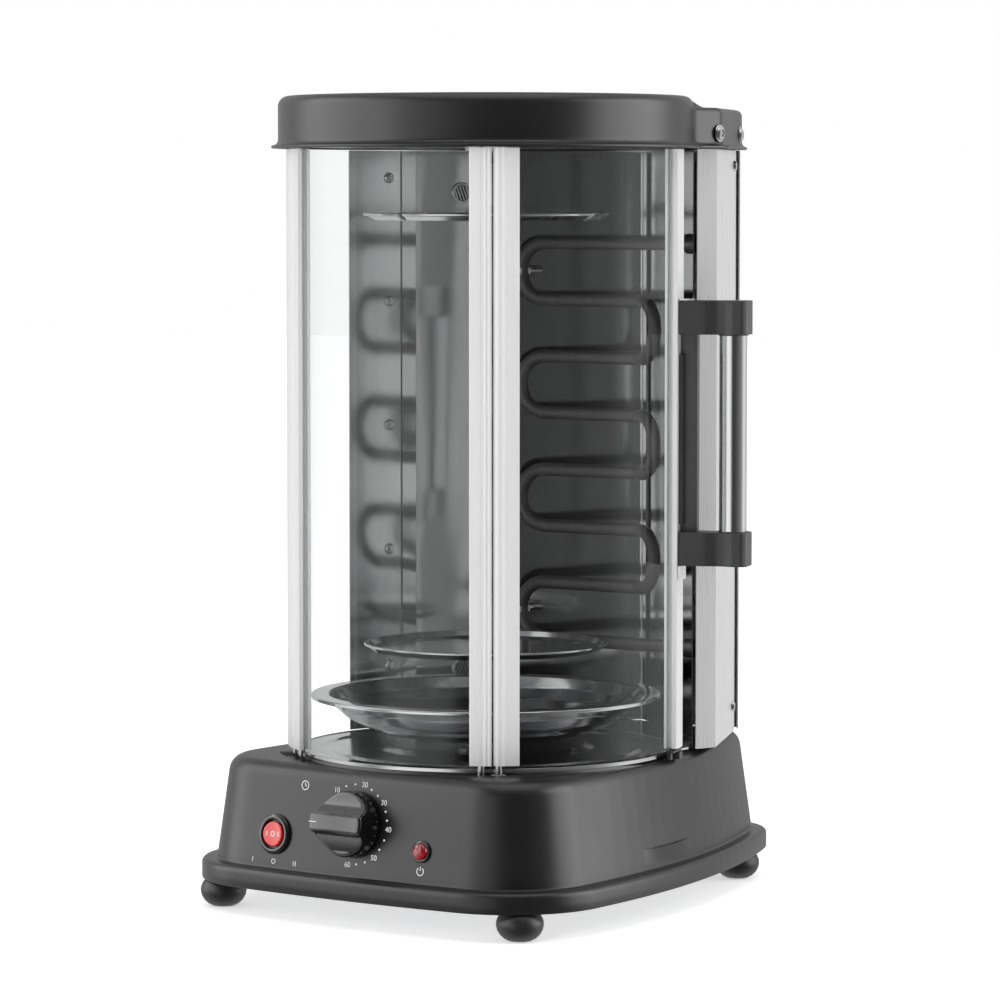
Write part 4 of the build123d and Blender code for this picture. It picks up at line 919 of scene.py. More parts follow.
verts, rows = [], []
cols = []
MR = 96
for a in CANG:
    rr = ray_radius(rp0, a) or 0
    side = step(abs(((a + 180) % 360) - 180), 60, 100)
    rho = smax(CAP_R, rr * side, 3.0)
    # dense section
    sec = []

    def h1(r):
        if r <= CAP_R - 6:
            return ZC1
        if r < CAP_R:
            return ZC1 - 6 + sqrt(max(36 - (r - CAP_R + 6) ** 2, 0))
        return ZC1 - 6 - (r - CAP_R) * 6

    def h2(r):
        if rho < CAP_R + 0.6:
            return -1e3
        e = rho - 4.0
        if r <= e:
            return ZSH
        return ZSH - 4 + sqrt(max(16 - (r - e) ** 2, 0))
    r = 100.0
    while r < rho - 1e-6:
        z1, z2 = h1(r), h2(r)
        if rho > CAP_R + 0.6:
            # the dome eases into the shelf with a hollow curve
            w = min(13.0, rho - 4 - (CAP_R - 5.5)) if rho - 4 > CAP_R - 5 else 0
            if w > 3 and r > CAP_R - 7:
                t = max(0.0, min(1.0, (r - (CAP_R - 7)) / (w + 1)))
                z1 = ZSH + (ZC1 - ZSH) * (1 - t * t * (3 - 2 * t))
                z = max(z1, z2) if t < 1 else z2
                if r > rho - 4:
                    z = z2
            else:
                z = smax(z1, z2, 2.0) if z2 > 0 else z1
        else:
            z = z1
        sec.append((r, z))
        r += 0.18
    ztop = sec[-1][1]
    zz = ztop
    while zz > ZC0 + 5.4:
        zz -= 0.5
        sec.append((rho, max(zz, ZC0 + 5.4)))
    # flare into the lip, rounded bead edge
    for i in range(1, 9):
        t = radians(90 * i / 8)
        sec.append((rho + 2.9 * (1 - cos(t)), ZC0 + 5.4 - 3.5 * sin(t)))
    sec += [(rho + 3.5, ZC0 + 1.75), (rho + 3.85, ZC0 + 1.45), (rho + 4.0, ZC0 + 0.9), (rho + 3.85, ZC0 + 0.3), (rho + 3.4, ZC0)]
    # resample evenly
    L = [0.0]
    for p0, p1 in zip(sec, sec[1:]):
        L.append(L[-1] + hypot(p1[0] - p0[0], p1[1] - p0[1]))
    out, k = [], 0
    for j in range(MR):
        s = L[-1] * j / (MR - 1)
        while k < len(L) - 2 and L[k + 1] < s:
            k += 1
        t = (s - L[k]) / max(L[k + 1] - L[k], 1e-9)
        out.append((sec[k][0] + (sec[k + 1][0] - sec[k][0]) * t, sec[k][1] + (sec[k + 1][1] - sec[k][1]) * t))
    cols.append((out, rho))
rows = [[0] * CN]
verts = [P(0, 0, ZC1)]
for r in (30, 60, 85):
    rows.append([len(verts) + i for i in range(CN)])
    verts += [P(*pol(r, a), ZC1) for a in CANG]
for j in range(MR):
    rows.append([len(verts) + i for i in range(CN)])
    verts += [P(*pol(cols[i][0][j][0], CANG[i]), cols[i][0][j][1]) for i in range(CN)]
for dr, z in ((-1.4, ZC0), (-1.4, ZC0 + 16.0), (-9.0, ZC0 + 20.0)):
    rows.append([len(verts) + i for i in range(CN)])
    verts += [P(*pol(cols[i][1] + dr, CANG[i]), z) for i in range(CN)]
rows.append([len(verts)] * CN)
verts.append(P(0, 0, ZC0 + 20.0))
faces = []
for a_, b_ in zip(rows, rows[1:]):
    for i in range(CN):
        k = (i + 1) % CN
        f = [a_[i], a_[k], b_[k], b_[i]]
        f = [v for q, v in enumerate(f) if v not in f[:q]]
        if len(f) > 2:
            faces.append(f)
cap = finish_mesh("cap_pressing", mesh_of("cap_pressing", verts, faces), "paint", "root", ("cap",), smooth=55)

heads = []
for x, y, dx, dy in ((108.6, 82.0, 1.0, 0.05), (76.5, 153.6, 0.9, 0.42), (-108.6, 82.0, -1.0, 0.05), (-76.5, 153.6, -0.9, 0.42)):
    n = hypot(dx, dy)
    pl = framed(P(x + 0.1 * dx / n, y + 0.1 * dy / n, 448.6), (-dy / n, dx / n, 0), (dx / n, dy / n, 0))
    heads.append(head_mesh("h", lambda a, b, c, f=pl: f(a, b, c + 0.6), 3.9, 2.0))
    heads.append(lathe_mesh("w", [(1.2, 0.0), (4.9, 0.0), (5.1, 0.25), (4.9, 0.62), (1.2, 0.62)], 40, True, pl))
finish_mesh("cap_screw_heads", joined("cap_screw_heads", heads), "screw", "root", ("cap_screws",), smooth=40)

# =====================================================================
# Turned stack
# =====================================================================
tz = zlo("drip_tray")
tray_prof = rounded([(9.1, tz), (34, tz), (48, tz + 0.9), (62, tz + 3.2), (73, tz + 7.3), (82, tz + 12), (88.6, tz + 18.0), (93.4, tz + 24.5), (101.6, tz + 24.6),
                     (101.7, tz + 23.2), (102.6, tz + 23.0), (102.7, tz + 25.4), (92.7, tz + 25.5), (87.7, tz + 18.7), (81.2, tz + 12.9), (72.5, tz + 8.3), (61.7, tz + 4.2), (48, tz + 1.9),
                     (34, tz + 1.0), (9.1, tz + 1.0)],
                    [0.2, 12, 25, 25, 20, 14, 10, 1.6, 0.5, 0.3, 0.4, 1.1, 2.4, 10, 14, 20, 25, 25, 12, 0.2], 5)
lathe("tray_bowl", tray_prof, "polished", "carousel", ("drip_tray",), 192, 50)
hz = zlo("tray_hub")
lathe("tray_hub_turned", rounded([(0, hz), (17, hz), (17, hz + 1.5), (9, hz + 2.3), (9, hz + 7.3), (0, hz + 7.3)], [0, 0.4, 0.4, 0.8, 0.6, 0], 4), "polished", "carousel", ("tray_hub",), 72, closed=False)
lathe("spindle_rod", rounded([(0, 101), (9, 101), (9, 113), (4.5, 114.4), (4.5, 430), (3.0, 431), (3.0, zhi("spindle")), (0, zhi("spindle"))],
                             [0, 0.5, 2.6, 1.6, 0.9, 0.3, 0.8, 0], 6), "spindle", "carousel", ("spindle",), 56, closed=False)


def perforated(name, prof, holes, z0, z1, mat, node, seg=160):
    o = lathe(name, prof, mat, "carousel", (node,), seg, 40)
    cutters = [prism_mesh("c", pts, z0, z1) for pts in holes]
    cut(o, cutters)
    o.data.shade_smooth()
    o.data.set_sharp_from_angle(angle=radians(32))
    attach(o, "carousel")
    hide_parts(node)
    return o


def circ(x, y, r, n=28):
    return [(x + r * cos(2 * pi * i / n), y + r * sin(2 * pi * i / n)) for i in range(n)]


def mpol(r, a):
    return (r * cos(radians(a)), r * sin(radians(a)))


dz = zlo("lower_disc")
low_prof = rounded([(4.6, dz), (67.4, dz), (70.2, dz + 2.6), (71.6, dz + 2.9), (71.6, dz + 4.2), (69.4, dz + 4.2), (66.7, dz + 0.8), (4.6, dz + 0.8)], [0, 1.2, 1.0, 0.5, 0.6, 0.8, 1.2, 0], 5)
holes = [circ(*mpol(60.5, 12 + 360 * k / 7), 2.4) for k in range(7)] + [circ(*mpol(60.5, 37.7 + 360 * k / 7), 1.6, 20) for k in range(7)]
perforated("disc_lower_turned", low_prof, holes, 140, 160, "polished", "lower_disc")
dz = zlo("upper_disc")
up_prof = rounded([(4.6, dz), (66.8, dz), (70.6, dz + 2.6), (71.6, dz + 2.8), (71.6, dz + 4.2), (69.9, dz + 4.2), (66.2, dz + 0.8), (4.6, dz + 0.8)], [0, 1.2, 1.0, 0.5, 0.6, 0.8, 1.2, 0], 5)
slots = []
for k in range(7):
    a = -98 + 360 * k / 7
    ca, sa = cos(radians(a)), sin(radians(a))
    loc = [(69.5 + 7.5 + 2.5 * cos(radians(t)), 2.5 * sin(radians(t))) for t in range(-90, 91, 15)] + [(69.5 - 7.5 + 2.5 * cos(radians(t)), 2.5 * sin(radians(t))) for t in range(90, 271, 15)]
    slots.append([(u * ca - v * sa, u * sa + v * ca) for u, v in loc])
perforated("disc_upper_turned", up_prof, slots, 390, 410, "polished", "upper_disc")
col = []
for zc in (147.8, 398.8):
    col.append(lathe_mesh("c", rounded([(4.6, zc), (10, zc), (10, zc + 9), (4.6, zc + 9)], [0, 0.4, 1.0, 0.3], 4), 64))
    pl = framed(P(*pol(9.6, 20), zc + 4.6), (0, 0, 1), (sin(radians(20)), -cos(radians(20)), 0))
    col.append(head_mesh("h", pl, 1.9, 0.9, 0.6))
finish_mesh("disc_collars_turned", joined("disc_collars_turned", col), "spindle", "carousel", ("disc_collars",), 40)

# floor pan: turned part with boss and drip groove, run into the straight-sided rear sheet
fz = zlo("floor_pan")
FR = strip_ref = [(-98.6, 58.0), (-98.6, 66.6), (-75.4, 107.2), (-0.2, 163.6), (0.2, 163.6), (75.4, 107.2), (98.6, 66.6), (98.6, 58.0), (60, 58), (0, 58), (-60, 58)]
pan_prof = rounded([(16.2, 91.6), (57.5, 91.6), (63.5, 89.4), (89, 89.4), (91.6, 88.35), (94.9, 88.35), (97.6, 89.4), (108.4, 89.4), (109.2, 90.4), (109.4, 88.0), (58, 88.0), (57, 90.6), (16.2, 90.6)],
                   [0.3, 3.0, 3.0, 1.2, 1.2, 1.2, 1.2, 0.5, 0.3, 0, 0, 0, 0.2], 5)
lathe("floor_pan_turned", pan_prof, "pan", "root", ("floor_pan",), 192, 40)
rear_sheet = rounded([(-101.0, 63.5), (-75.2, 107.0), (0.0, 163.2), (75.2, 107.0), (98.8, 66.0), (97.0, 50.0), (60, 88), (0, 108.5), (-60, 88), (-96.5, 51.5)], 0.0, 1)
finish_mesh("floor_pan_rear", prism_mesh("floor_pan_rear", rear_sheet, 88.2, 89.35), "pan", "root", (), 30)
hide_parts("floor_pan")

# =====================================================================
# Rear of the chamber
# =====================================================================
RZ0, RZ1 = zlo("reflector_left"), zhi("reflector_left")
LEFT_REF = [(-103.1, 55.4), (-100.4, 65.6), (-76.0, 108.0), (-0.15, 165.0)]
RIGHT_REF = [(0.15, 165.0), (76.0, 108.0), (100.0, 67.5)]
WING = [(-114.9, 17.5), (-102.0, 66.0)]


def sheet(name, pts, z0, z1, mat, nodes, t=0.8, bend=1.6, cutters=(), rows=1):
    me = prism_mesh(name, strip_pts(pts, t, bend), z0, z1, rows)
    o = finish_mesh(name, me, mat, "root", nodes, 32)
    if cutters:
        cut(o, cutters)
        o.data.shade_smooth()
        o.data.set_sharp_from_angle(angle=radians(32))
        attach(o, "root"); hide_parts(*nodes)
    return o


def facet(p, q, s, z, side=1, out=0.0):
    dx, dy = q[0] - p[0], q[1] - p[1]
    n = hypot(dx, dy)
    nx, ny = -side * dy / n, side * dx / n
    return framed(P(p[0] + dx * s + nx * out, p[1] + dy * s + ny * out, z), (dx / n, dy / n, 0), (nx, ny, 0))


VENT_S, VENT_Z = 0.62, (414.0, 122.0)
vent_cut = [prism_mesh("c", circ(0, 0, 5.2, 32), -4, 4, 1, facet(LEFT_REF[1], LEFT_REF[2], VENT_S, z)) for z in VENT_Z]
sheet("reflector_left_sheet", LEFT_REF, RZ0, RZ1, "mirror", ("reflector_left",), cutters=vent_cut)
sheet("reflector_right_sheet", RIGHT_REF, RZ0, RZ1, "mirror", ("reflector_right",))
sheet("seam_cover_strip", [(6.6, 159.1), (0, 164.05), (-6.6, 159.1)], zlo("seam_strip"), zhi("seam_strip"), "mirror", ("seam_strip",), bend=0.8)
sheet("left_side_sheet", WING, RZ0, RZ1, "wing", ("left_wing",), t=-0.8)

# round louvred inserts: a rim with slanted bars
parts = []
for z in VENT_Z:
    f = facet(LEFT_REF[1], LEFT_REF[2], VENT_S, z, 1)
    parts.append(lathe_mesh("v", rounded([(5.2, -1.5), (6.5, -1.5), (6.5, -0.1), (5.0, 2.4), (4.7, 2.4), (4.7, -0.6)], [0.3, 0.5, 0.3, 0.2, 0.2, 0.2], 3), 48, True, f))
    for k in range(5):
        y = -3.8 + 1.9 * k
        w = sqrt(max(4.75 ** 2 - y * y, 0.5))
        parts.append(prism_mesh("b", [(y - 0.55, -1.3), (y + 0.15, -1.3), (y + 0.6, -0.1), (y - 0.1, -0.1)], -w, w, 1,
                                lambda a, b, c, g=f: g(a * 0.94 + c * 0.34, c * 0.94 - a * 0.34, b)))
finish_mesh("vent_louvres", joined("vent_louvres", parts), "alu_bright", "root", ("vent_inserts",), 35)

# screws of the side sheet: heads with their shanks
wz = []
_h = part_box("wing_screws")
n_ = 5
WZ = [126.7, 198.0, 273.5, 348.5, 423.0]
parts = []
for z in WZ:
    f = facet(WING[0], WING[1], 0.60, z, -1, 0.85)
    parts.append(head_mesh("h", f, 3.3, 2.0, 0.9))
    parts.append(lathe_mesh("s", [(0, -3.4), (1.1, -3.4), (1.5, -2.9), (1.5, 0.1), (0, 0.1)], 24, False, f))
finish_mesh("wing_screw_heads", joined("wing_screw_heads", parts), "screw", "root", ("wing_screws",), 35)

# ---------------------------------------------------------------------
# Heating element: one bent tube, its bushings and clips
# ---------------------------------------------------------------------
ROD_Y, ROD_X, PITCH, ROD_TOP, XS = 105.7, 50.0, 34.4, zhi("heating_element") - 4.0, 36.0
R_BEND = PITCH / 2 - 0.08
TIP = (XS + 19.0, ROD_Y - 10.9)
Z_H = ROD_TOP - 7 * PITCH
pts, radii = [P(90, ROD_Y, ROD_TOP)], []
for k in range(4):
    z0, z1 = ROD_TOP - PITCH * 2 * k, ROD_TOP - PITCH * (2 * k + 1)
    pts += [P(-ROD_X, ROD_Y, z0), P(-ROD_X, ROD_Y, z1)]
    radii += [R_BEND * MM] * 2
    if k < 3:
        z2 = z1 - PITCH
        pts += [P(XS, ROD_Y, z1), P(*TIP, z1), P(*TIP, z2), P(XS, ROD_Y, z2)]
        radii += [10 * MM, R_BEND * MM, R_BEND * MM, 10 * MM]
pts.append(P(90, ROD_Y, Z_H))
finish_mesh("element_tube", tube_mesh("element_tube", fillet_path(pts, radii, 14), 4.0 * MM, 24), "sheath", "root", ("heating_element",), 50)
parts = []
for z in (ROD_TOP, Z_H):
    f = framed(P(71.0, ROD_Y, z), (0, 1, 0), (1, 0, 0))
    parts.append(lathe_mesh("b", rounded([(4.05, 0), (5.95, 0), (5.95, 12.5), (8.2, 12.5), (8.2, 16), (4.05, 16)], [0.3, 0.5, 0.3, 0.5, 0.6, 0.3], 3), 40, True, f))
finish_mesh("element_collars", joined("element_collars", parts), "ceramic", "root", ("element_bushings",), 40)
parts = []
for k in (0.5, 6.5):
    z = ROD_TOP - PITCH * k
    hook = [(5.5 * cos(radians(t)), 5.5 * sin(radians(t))) for t in range(50, 311, 10)] + [(4.35 * cos(radians(t)), 4.35 * sin(radians(t))) for t in range(310, 49, -10)]
    parts.append(prism_mesh("c", [(-ROD_X + x, ROD_Y + y) for x, y in hook], z - 2, z + 2))
    parts.append(lathe_mesh("s", rounded([(0, 0), (3.2, 0), (3.2, 13.6), (0, 13.6)], [0, 0.4, 0.4, 0], 3), 32, False, framed(P(-ROD_X, ROD_Y + 5.0, z), (1, 0, 0), (0, 1, 0))))
finish_mesh("element_holders", joined("element_holders", parts), "screw", "root", ("element_clips",), 35)

# =====================================================================
# Glass and posts
# =====================================================================
PR0, PR1 = 109.4, 117.0
PZ0, PZ1 = zlo("post_left_inner"), zhi("post_left_inner")
GZ0, GZ1 = zlo("front_glass"), zhi("front_glass")


def post_pts(a_joint, a_free, beads=True, slot=True, round_free=False):
    """Plan of a post half: two beads and a groove beside the joint, a glazing slot in the free edge."""
    s = 1 if a_free > a_joint else -1
    span = abs(a_free - a_joint)
    mm = 180 / pi / PR1            # degrees for a millimetre on the face
    face = []
    n = int(span / mm / 0.16)
    for i in range(n + 1):
        t = span / mm * i / n      # mm from the joint
        r = PR1
        if beads:
            for c in (1.25, 3.55):
                d = abs(t - c)
                if d < 0.85:
                    r = max(r, PR1 - 0.1 + sqrt(0.7225 - d * d) * 0.9)
            d = abs(t - 5.6)
            if d < 0.45:
                r = PR1 - sqrt(0.2025 - d * d)
        edge = min(t, span / mm - t)
        if edge < 0.5:
            r = min(r, PR1 - 0.5 + sqrt(max(0.25 - (0.5 - edge) ** 2, 0)))
        face.append((r, a_joint + s * t * mm))
    pts = [pol(r, a) for r, a in face]
    if slot:
        g0, g1, dep = 110.9, 114.1, 1.9
        pts += [pol(g1 + 0.2, a_free), pol(g1, a_free - s * 0.1), pol(g1, a_free - s * dep), pol(g0, a_free - s * dep), pol(g0, a_free - s * 0.1), pol(g0 - 0.2, a_free)]
    m = 14
    pts += [pol(PR0, a_free + (a_joint - a_free) * i / m) for i in range(m + 1)]
    return pts


def post(name, node, body, *a, **k):
    return prism(name, post_pts(*a, **k), PZ0, PZ1, "alu", body, (node,), bevel=0.0, smooth=28)


post("post_left_inner_profile", "post_left_inner", "root", -37.85, -31.35)
post("post_left_outer_profile", "post_left_outer", "root", -38.1, -45.3)
post("post_right_inner_profile", "post_right_inner", "root", 37.55, 31.35)

# hinge post with its round knuckle
HA, HR = 39.55, 113.9
hx0, hy0 = pol(HR, HA)
kn = []
for i in range(25):
    t = radians(HA - 90 + 0 - 180 * i / 24)
    kn.append((hx0 + 3.1 * cos(radians(HA - 90) - pi * i / 24), hy0 + 3.1 * sin(radians(HA - 90) - pi * i / 24)))
face = []
for i in range(40):
    t = 11.6 * i / 39
    r = PR1
    if abs(t - 2.6) < 0.8:
        r = max(r, PR1 - 0.1 + sqrt(0.64 - (t - 2.6) ** 2) * 0.9)
    face.append(pol(r, HA + t * 180 / pi / PR1))
hp = face + [pol(PR1 - 0.4, 45.3), pol(114.1, 45.3), pol(114.1, 43.4), pol(110.9, 43.4), pol(110.9, 45.3), pol(PR0, 45.3), pol(PR0, 42.4), pol(PR0, HA + 0.4)]
a0_ = atan2(pol(PR0, HA + 0.4)[1] - hy0, pol(PR0, HA + 0.4)[0] - hx0)
a1_ = atan2(face[0][1] - hy0, face[0][0] - hx0)
while a1_ < a0_:
    a1_ += 2 * pi
kn = [(hx0 + 3.1 * cos(a0_ + (a1_ - a0_) * i / 22), hy0 + 3.1 * sin(a0_ + (a1_ - a0_) * i / 22)) for i in range(23)]
prism("hinge_post_profile", hp + kn[:-1], PZ0, PZ1, "alu", "door", ("door_hinge_post",), bevel=0.0, smooth=28)

# end post of the door
ep = []
n = 46
for i in range(n + 1):
    a = 106.4 + 8.0 * i / n
    t = (a - 106.4) * pi / 180 * PR1
    e = 8.0 * pi / 180 * PR1 - t
    r = PR1
    if e < 1.2:
        r = PR1 - 1.2 + sqrt(max(1.44 - (1.2 - e) ** 2, 0))
    if t < 0.4:
        r = PR1 - 0.4 + sqrt(max(0.16 - (0.4 - t) ** 2, 0))
    ep.append(pol(r, a))
ep += [pol(PR0, 114.4 - 8.0 * i / 14) for i in range(15)]
ep += [pol(110.9, 106.4), pol(110.9, 108.3), pol(114.1, 108.3), pol(114.1, 106.4)]
prism("end_post_profile", ep, PZ0, PZ1, "alu", "door", ("door_end_post",), bevel=0.0, smooth=28)


def pane(name, node, body, a0, a1):
    n = 64
    pts = sector_pts(111.0, 114.0, a0, a1, n)
    o = prism(name, pts, GZ0, GZ1, "glass", body, (node,), bevel=0.35, smooth=30, segments=2)
    return o


pane("front_pane", "front_glass", "root", -33.05, 33.05)
pane("left_pane", "left_glass", "root", -99.4, -43.6)
pane("door_pane", "door_glass", "door", 43.6, 108.1)

# =====================================================================
# Handle
# =====================================================================
HANDLE_A = 111.0
HS, HC = sin(radians(HANDLE_A)), cos(radians(HANDLE_A))


def hx(r, t):
    return (r * HS + t * HC, -r * HC + t * HS)


LO0, LO1 = zlo("handle_bracket_lower"), zhi("handle_bracket_lower")
HI0, HI1 = zlo("handle_bracket_upper"), zhi("handle_bracket_upper")
r0 = PR1 + 0.1
prism("handle_web", [hx(*p) for p in rounded([(r0, -1.6), (126.6, -1.6), (126.6, 5.6), (r0, 5.6)], [0.4, 0.8, 0.8, 0.4], 4)], LO0 + 0.3, HI1 - 0.3, "grey_plate", "door", ("handle_plate",), bevel=0.35)
# painted shade: a thin matt black strip on the end post beside the web stands for the shaded side face of the handle
# plate
prism("handle_painted_shade_strip", [hx(*p) for p in rounded([(r0, -6.6), (119.2, -6.6), (119.2, -1.7), (r0, -1.7)], [0.2, 0.6, 0.3, 0.2], 3)], 223.0, 321.0, "black", "door", (), bevel=0.35)
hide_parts("handle_plate")


def arm(name, node, z0, z1):
    out = [(r0, -8.4), (132.5, -8.4), (139.5, -7.0), (144.2, -7.7), (148.6, -9.7), (154.6, -9.8), (157.4, -7.4), (157.4, 7.4), (154.6, 9.8), (148.6, 9.9), (144.2, 7.9), (139.5, 7.2), (132.5, 8.4), (r0, 8.4)]
    rad = [0.5, 14, 9, 9, 4, 2.6, 2.4, 2.4, 2.6, 4, 9, 9, 14, 0.5]
    return prism(name, [hx(*p) for p in rounded(out, rad, 7)], z0, z1, "black", "door", (node,), bevel=0.9, smooth=32, segments=4)


arm("handle_arm_lower", "handle_bracket_lower", LO0, LO1)
arm("handle_arm_upper", "handle_bracket_upper", HI0, HI1)
bx, by = hx(147.5, 0)
lathe("handle_bar_tube", [(8.0, LO0 + 6), (8.0, LO1 - 0.2), (8.0, 240), (8.0, 275), (8.0, 310), (8.0, HI0 + 0.2), (8.0, HI1 - 6), (6.8, HI1 - 6), (6.8, LO0 + 6)], "bar", "door", ("handle_bar",), 72, 40, True,
      lambda x, y, z: P(bx + x, by + y, z))
# rolled collars where the bar enters the arms
parts = [lathe_mesh("r", rounded([(7.9, z0), (8.7, z0), (8.7, z0 + s), (7.9, z0 + s)], 0.25, 3), 64, True, lambda x, y, z: P(bx + x, by + y, z)) for z0, s in ((LO1 - 0.4, 1.0), (HI0 - 0.6, 1.0))]
finish_mesh("handle_bar_collars", joined("handle_bar_collars", parts), "black", "door", (), 40)
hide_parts("handle_bar")
prism("latch_tab_folded", [hx(*p) for p in rounded([(r0 + 0.1, -8.8), (125.0, -8.8), (125.0, -1.0), (r0 + 0.1, -1.0)], 0.6, 3)], HI1, HI1 + 1.0, "alu_bright", "door", ("latch_tab",), bevel=0.2)
# aluminium keeper lying on the end post below the handle
prism("end_post_keeper", [hx(*p) for p in rounded([(r0 - 0.1, -9.0), (118.6, -9.0), (118.6, 6.3), (r0 - 0.3, 6.3)], [0.2, 0.5, 0.5, 0.2], 3)], 190.6, LO0 - 0.2, "alu", "door", (), bevel=0.25)
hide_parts("door_end_post")
# screws of the handle: heads with their shanks on the inner face of the end post
parts = []
for z in (209.0, 342.0):
    f = framed(P(*pol(PR0 - 0.05, HANDLE_A), z), (-HC, -HS, 0), (-HS, HC, 0))
    parts.append(head_mesh("h", f, 3.2, 1.8, 0.8))
    parts.append(lathe_mesh("s", [(0, -14.5), (1.2, -14.5), (1.6, -14.0), (1.6, 0.1), (0, 0.1)], 24, False, f))
finish_mesh("handle_screw_heads", joined("handle_screw_heads", parts), "screw", "door", ("handle_screws",), 35)

# =====================================================================
# Controls
# =====================================================================


def front_y(x, z):
    r = FRONT_R - 9.0 - (z - Z_LEDGE) * DRAFT
    return FRONT_Y + FRONT_R - sqrt(r * r - x * x)


def panel(x, z):
    """place() on the sloping front wall: x across, y up the wall, third outwards."""
    b = asin(x / (FRONT_R - 9.0))
    t = radians(8.0)
    n = (sin(b) * cos(t), -cos(b) * cos(t), sin(t))
    return framed(P(x, front_y(x, z), z), (cos(b), sin(b), 0), n)


KNOB, SWITCH, LAMP = (1.5, 58.0), (-56.0, 47.7), (49.0, 46.5)

# timer knob: round body, two scoops that leave a grip across it
pk = panel(*KNOB)
KR, K0, KT = 19.0, 2.4, 20.4


def knob_h(x, y):
    r = hypot(x, y)
    d = 17.9 - abs(y)
    sc = 24.4 - sqrt(max(14.2 ** 2 - d * d, 0)) if abs(d) < 14.2 else 99
    sc = max(sc, 10.4)
    top = KT - 0.010 * x * x * 0.35
    k = 1.3
    h = max(k - abs(top - sc), 0) / k
    v = min(top, sc) - h * h * k * 0.25
    # rim: an even rounded shoulder
    e = 18.2 - r
    if e < 1.6:
        v -= 1.5 * (1 - sqrt(max(0.0, 1 - ((1.6 - e) / 1.6) ** 2)))
    return v


SEG = 224
verts, rows = [pk(0, 0, knob_h(0, 0))], [[0] * SEG]
RR = [0.6, 1.2, 2, 2.8, 3.4, 3.9, 4.4, 5, 5.6, 6.3, 7, 7.8, 8.6, 9.4, 10.2, 11, 11.8, 12.6, 13.4, 14.2, 15, 15.7, 16.3, 16.8, 17.2, 17.5, 17.8, 18.0, 18.15, 18.2]
for r in RR:
    rows.append([len(verts) + i for i in range(SEG)])
    verts += [pk(r * cos(2 * pi * i / SEG), r * sin(2 * pi * i / SEG), knob_h(r * cos(2 * pi * i / SEG), r * sin(2 * pi * i / SEG))) for i in range(SEG)]
for q in range(1, 8):
    f = q / 7
    rows.append([len(verts) + i for i in range(SEG)])
    for i in range(SEG):
        a = 2 * pi * i / SEG
        h = knob_h(18.2 * cos(a), 18.2 * sin(a))
        z = h + (K0 + 0.4 - h) * f
        r = 18.2 + (KR - 18.2) * (KT - 2 - z) / (KT - 2 - K0)
        verts.append(pk(r * cos(a), r * sin(a), z))
for r, z in ((KR - 0.15, K0 + 0.1), (KR - 0.5, K0), (16.8, K0), (16.8, K0 + 4.0), (6.4, K0 + 4.0), (6.4, K0), (3.2, K0)):
    rows.append([len(verts) + i for i in range(SEG)])
    verts += [pk(r * cos(2 * pi * i / SEG), r * sin(2 * pi * i / SEG), z) for i in range(SEG)]
rows.append([len(verts)] * SEG)
verts.append(pk(0, 0, K0))
faces = []
for a_, b_ in zip(rows, rows[1:]):
    for i in range(SEG):
        k = (i + 1) % SEG
        f = [a_[i], a_[k], b_[k], b_[i]]
        f = [v for q, v in enumerate(f) if v not in f[:q]]
        if len(f) > 2:
            faces.append(f)
finish_mesh("timer_knob_moulding", mesh_of("timer_knob_moulding", verts, faces), "gloss", "timer_knob_body", ("timer_knob",), 48)
# fine pointer line at the left end of the grip
prism("timer_knob_pointer", rounded([(-18.1, -0.22), (-12.6, -0.22), (-12.6, 0.22), (-18.1, 0.22)], 0.1, 2), KT - 2.2, KT + 0.02 - 0.0, "ink", "timer_knob_body", (), 0.0, place=lambda x, y, z: pk(x, y, z - 0.0105 * x * x * 0.34 * 1.0 + 0.03))
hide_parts("timer_knob")

# switch: bezel, dished rocker and its raised marks
ps = panel(*SWITCH)
lathe("switch_bezel", rounded([(8.3, -9.0), (9.9, -9.0), (9.9, 0.05), (11.6, 0.05), (11.6, 1.5), (9.9, 2.7), (8.8, 2.55), (8.3, 1.2)], [0.2, 0.3, 0.2, 0.2, 0.9, 0.9, 0.6, 0.6], 5), "gloss", "root", ("switch_body",), 96, 40, True, ps)
SEGR = 96


def rocker_h(x, y):
    r = hypot(x, y)
    v = 3.4 + 39.0 - sqrt(40.0 ** 2 - x * x)
    v += 0.022 * abs(x)
    e = 7.2 - r
    if e < 0.9:
        v -= 0.9 * (1 - sqrt(max(0, 1 - ((0.9 - e) / 0.9) ** 2)))
    return v + 0.02


verts, rows = [ps(0, 0, rocker_h(0, 0))], [[0] * SEGR]
for r in (1, 2, 3, 4, 5, 5.8, 6.3, 6.6, 6.9, 7.1, 7.18):
    rows.append([len(verts) + i for i in range(SEGR)])
    verts += [ps(r * cos(2 * pi * i / SEGR), r * sin(2 * pi * i / SEGR), rocker_h(r * cos(2 * pi * i / SEGR), r * sin(2 * pi * i / SEGR))) for i in range(SEGR)]
for r, z in ((7.2, 0.2), (7.2, -2.2), (6.7, -5.0), (5.0, -6.2)):
    rows.append([len(verts) + i for i in range(SEGR)])
    verts += [ps(r * cos(2 * pi * i / SEGR), r * sin(2 * pi * i / SEGR), z) for i in range(SEGR)]
rows.append([len(verts)] * SEGR)
verts.append(ps(0, 0, -6.2))
faces = []
for a_, b_ in zip(rows, rows[1:]):
    for i in range(SEGR):
        k = (i + 1) % SEGR
        f = [a_[i], a_[k], b_[k], b_[i]]
        f = [v for q, v in enumerate(f) if v not in f[:q]]
        if len(f) > 2:
            faces.append(f)
finish_mesh("switch_rocker_moulding", mesh_of("switch_rocker_moulding", verts, faces), "red", "rocker", ("switch_rocker",), 45)


def ring_pts(r0, r1, n=28):
    return r0, r1, n


def mark_place(x, y, z):
    return ps(x, y, rocker_h(x, y) + z)


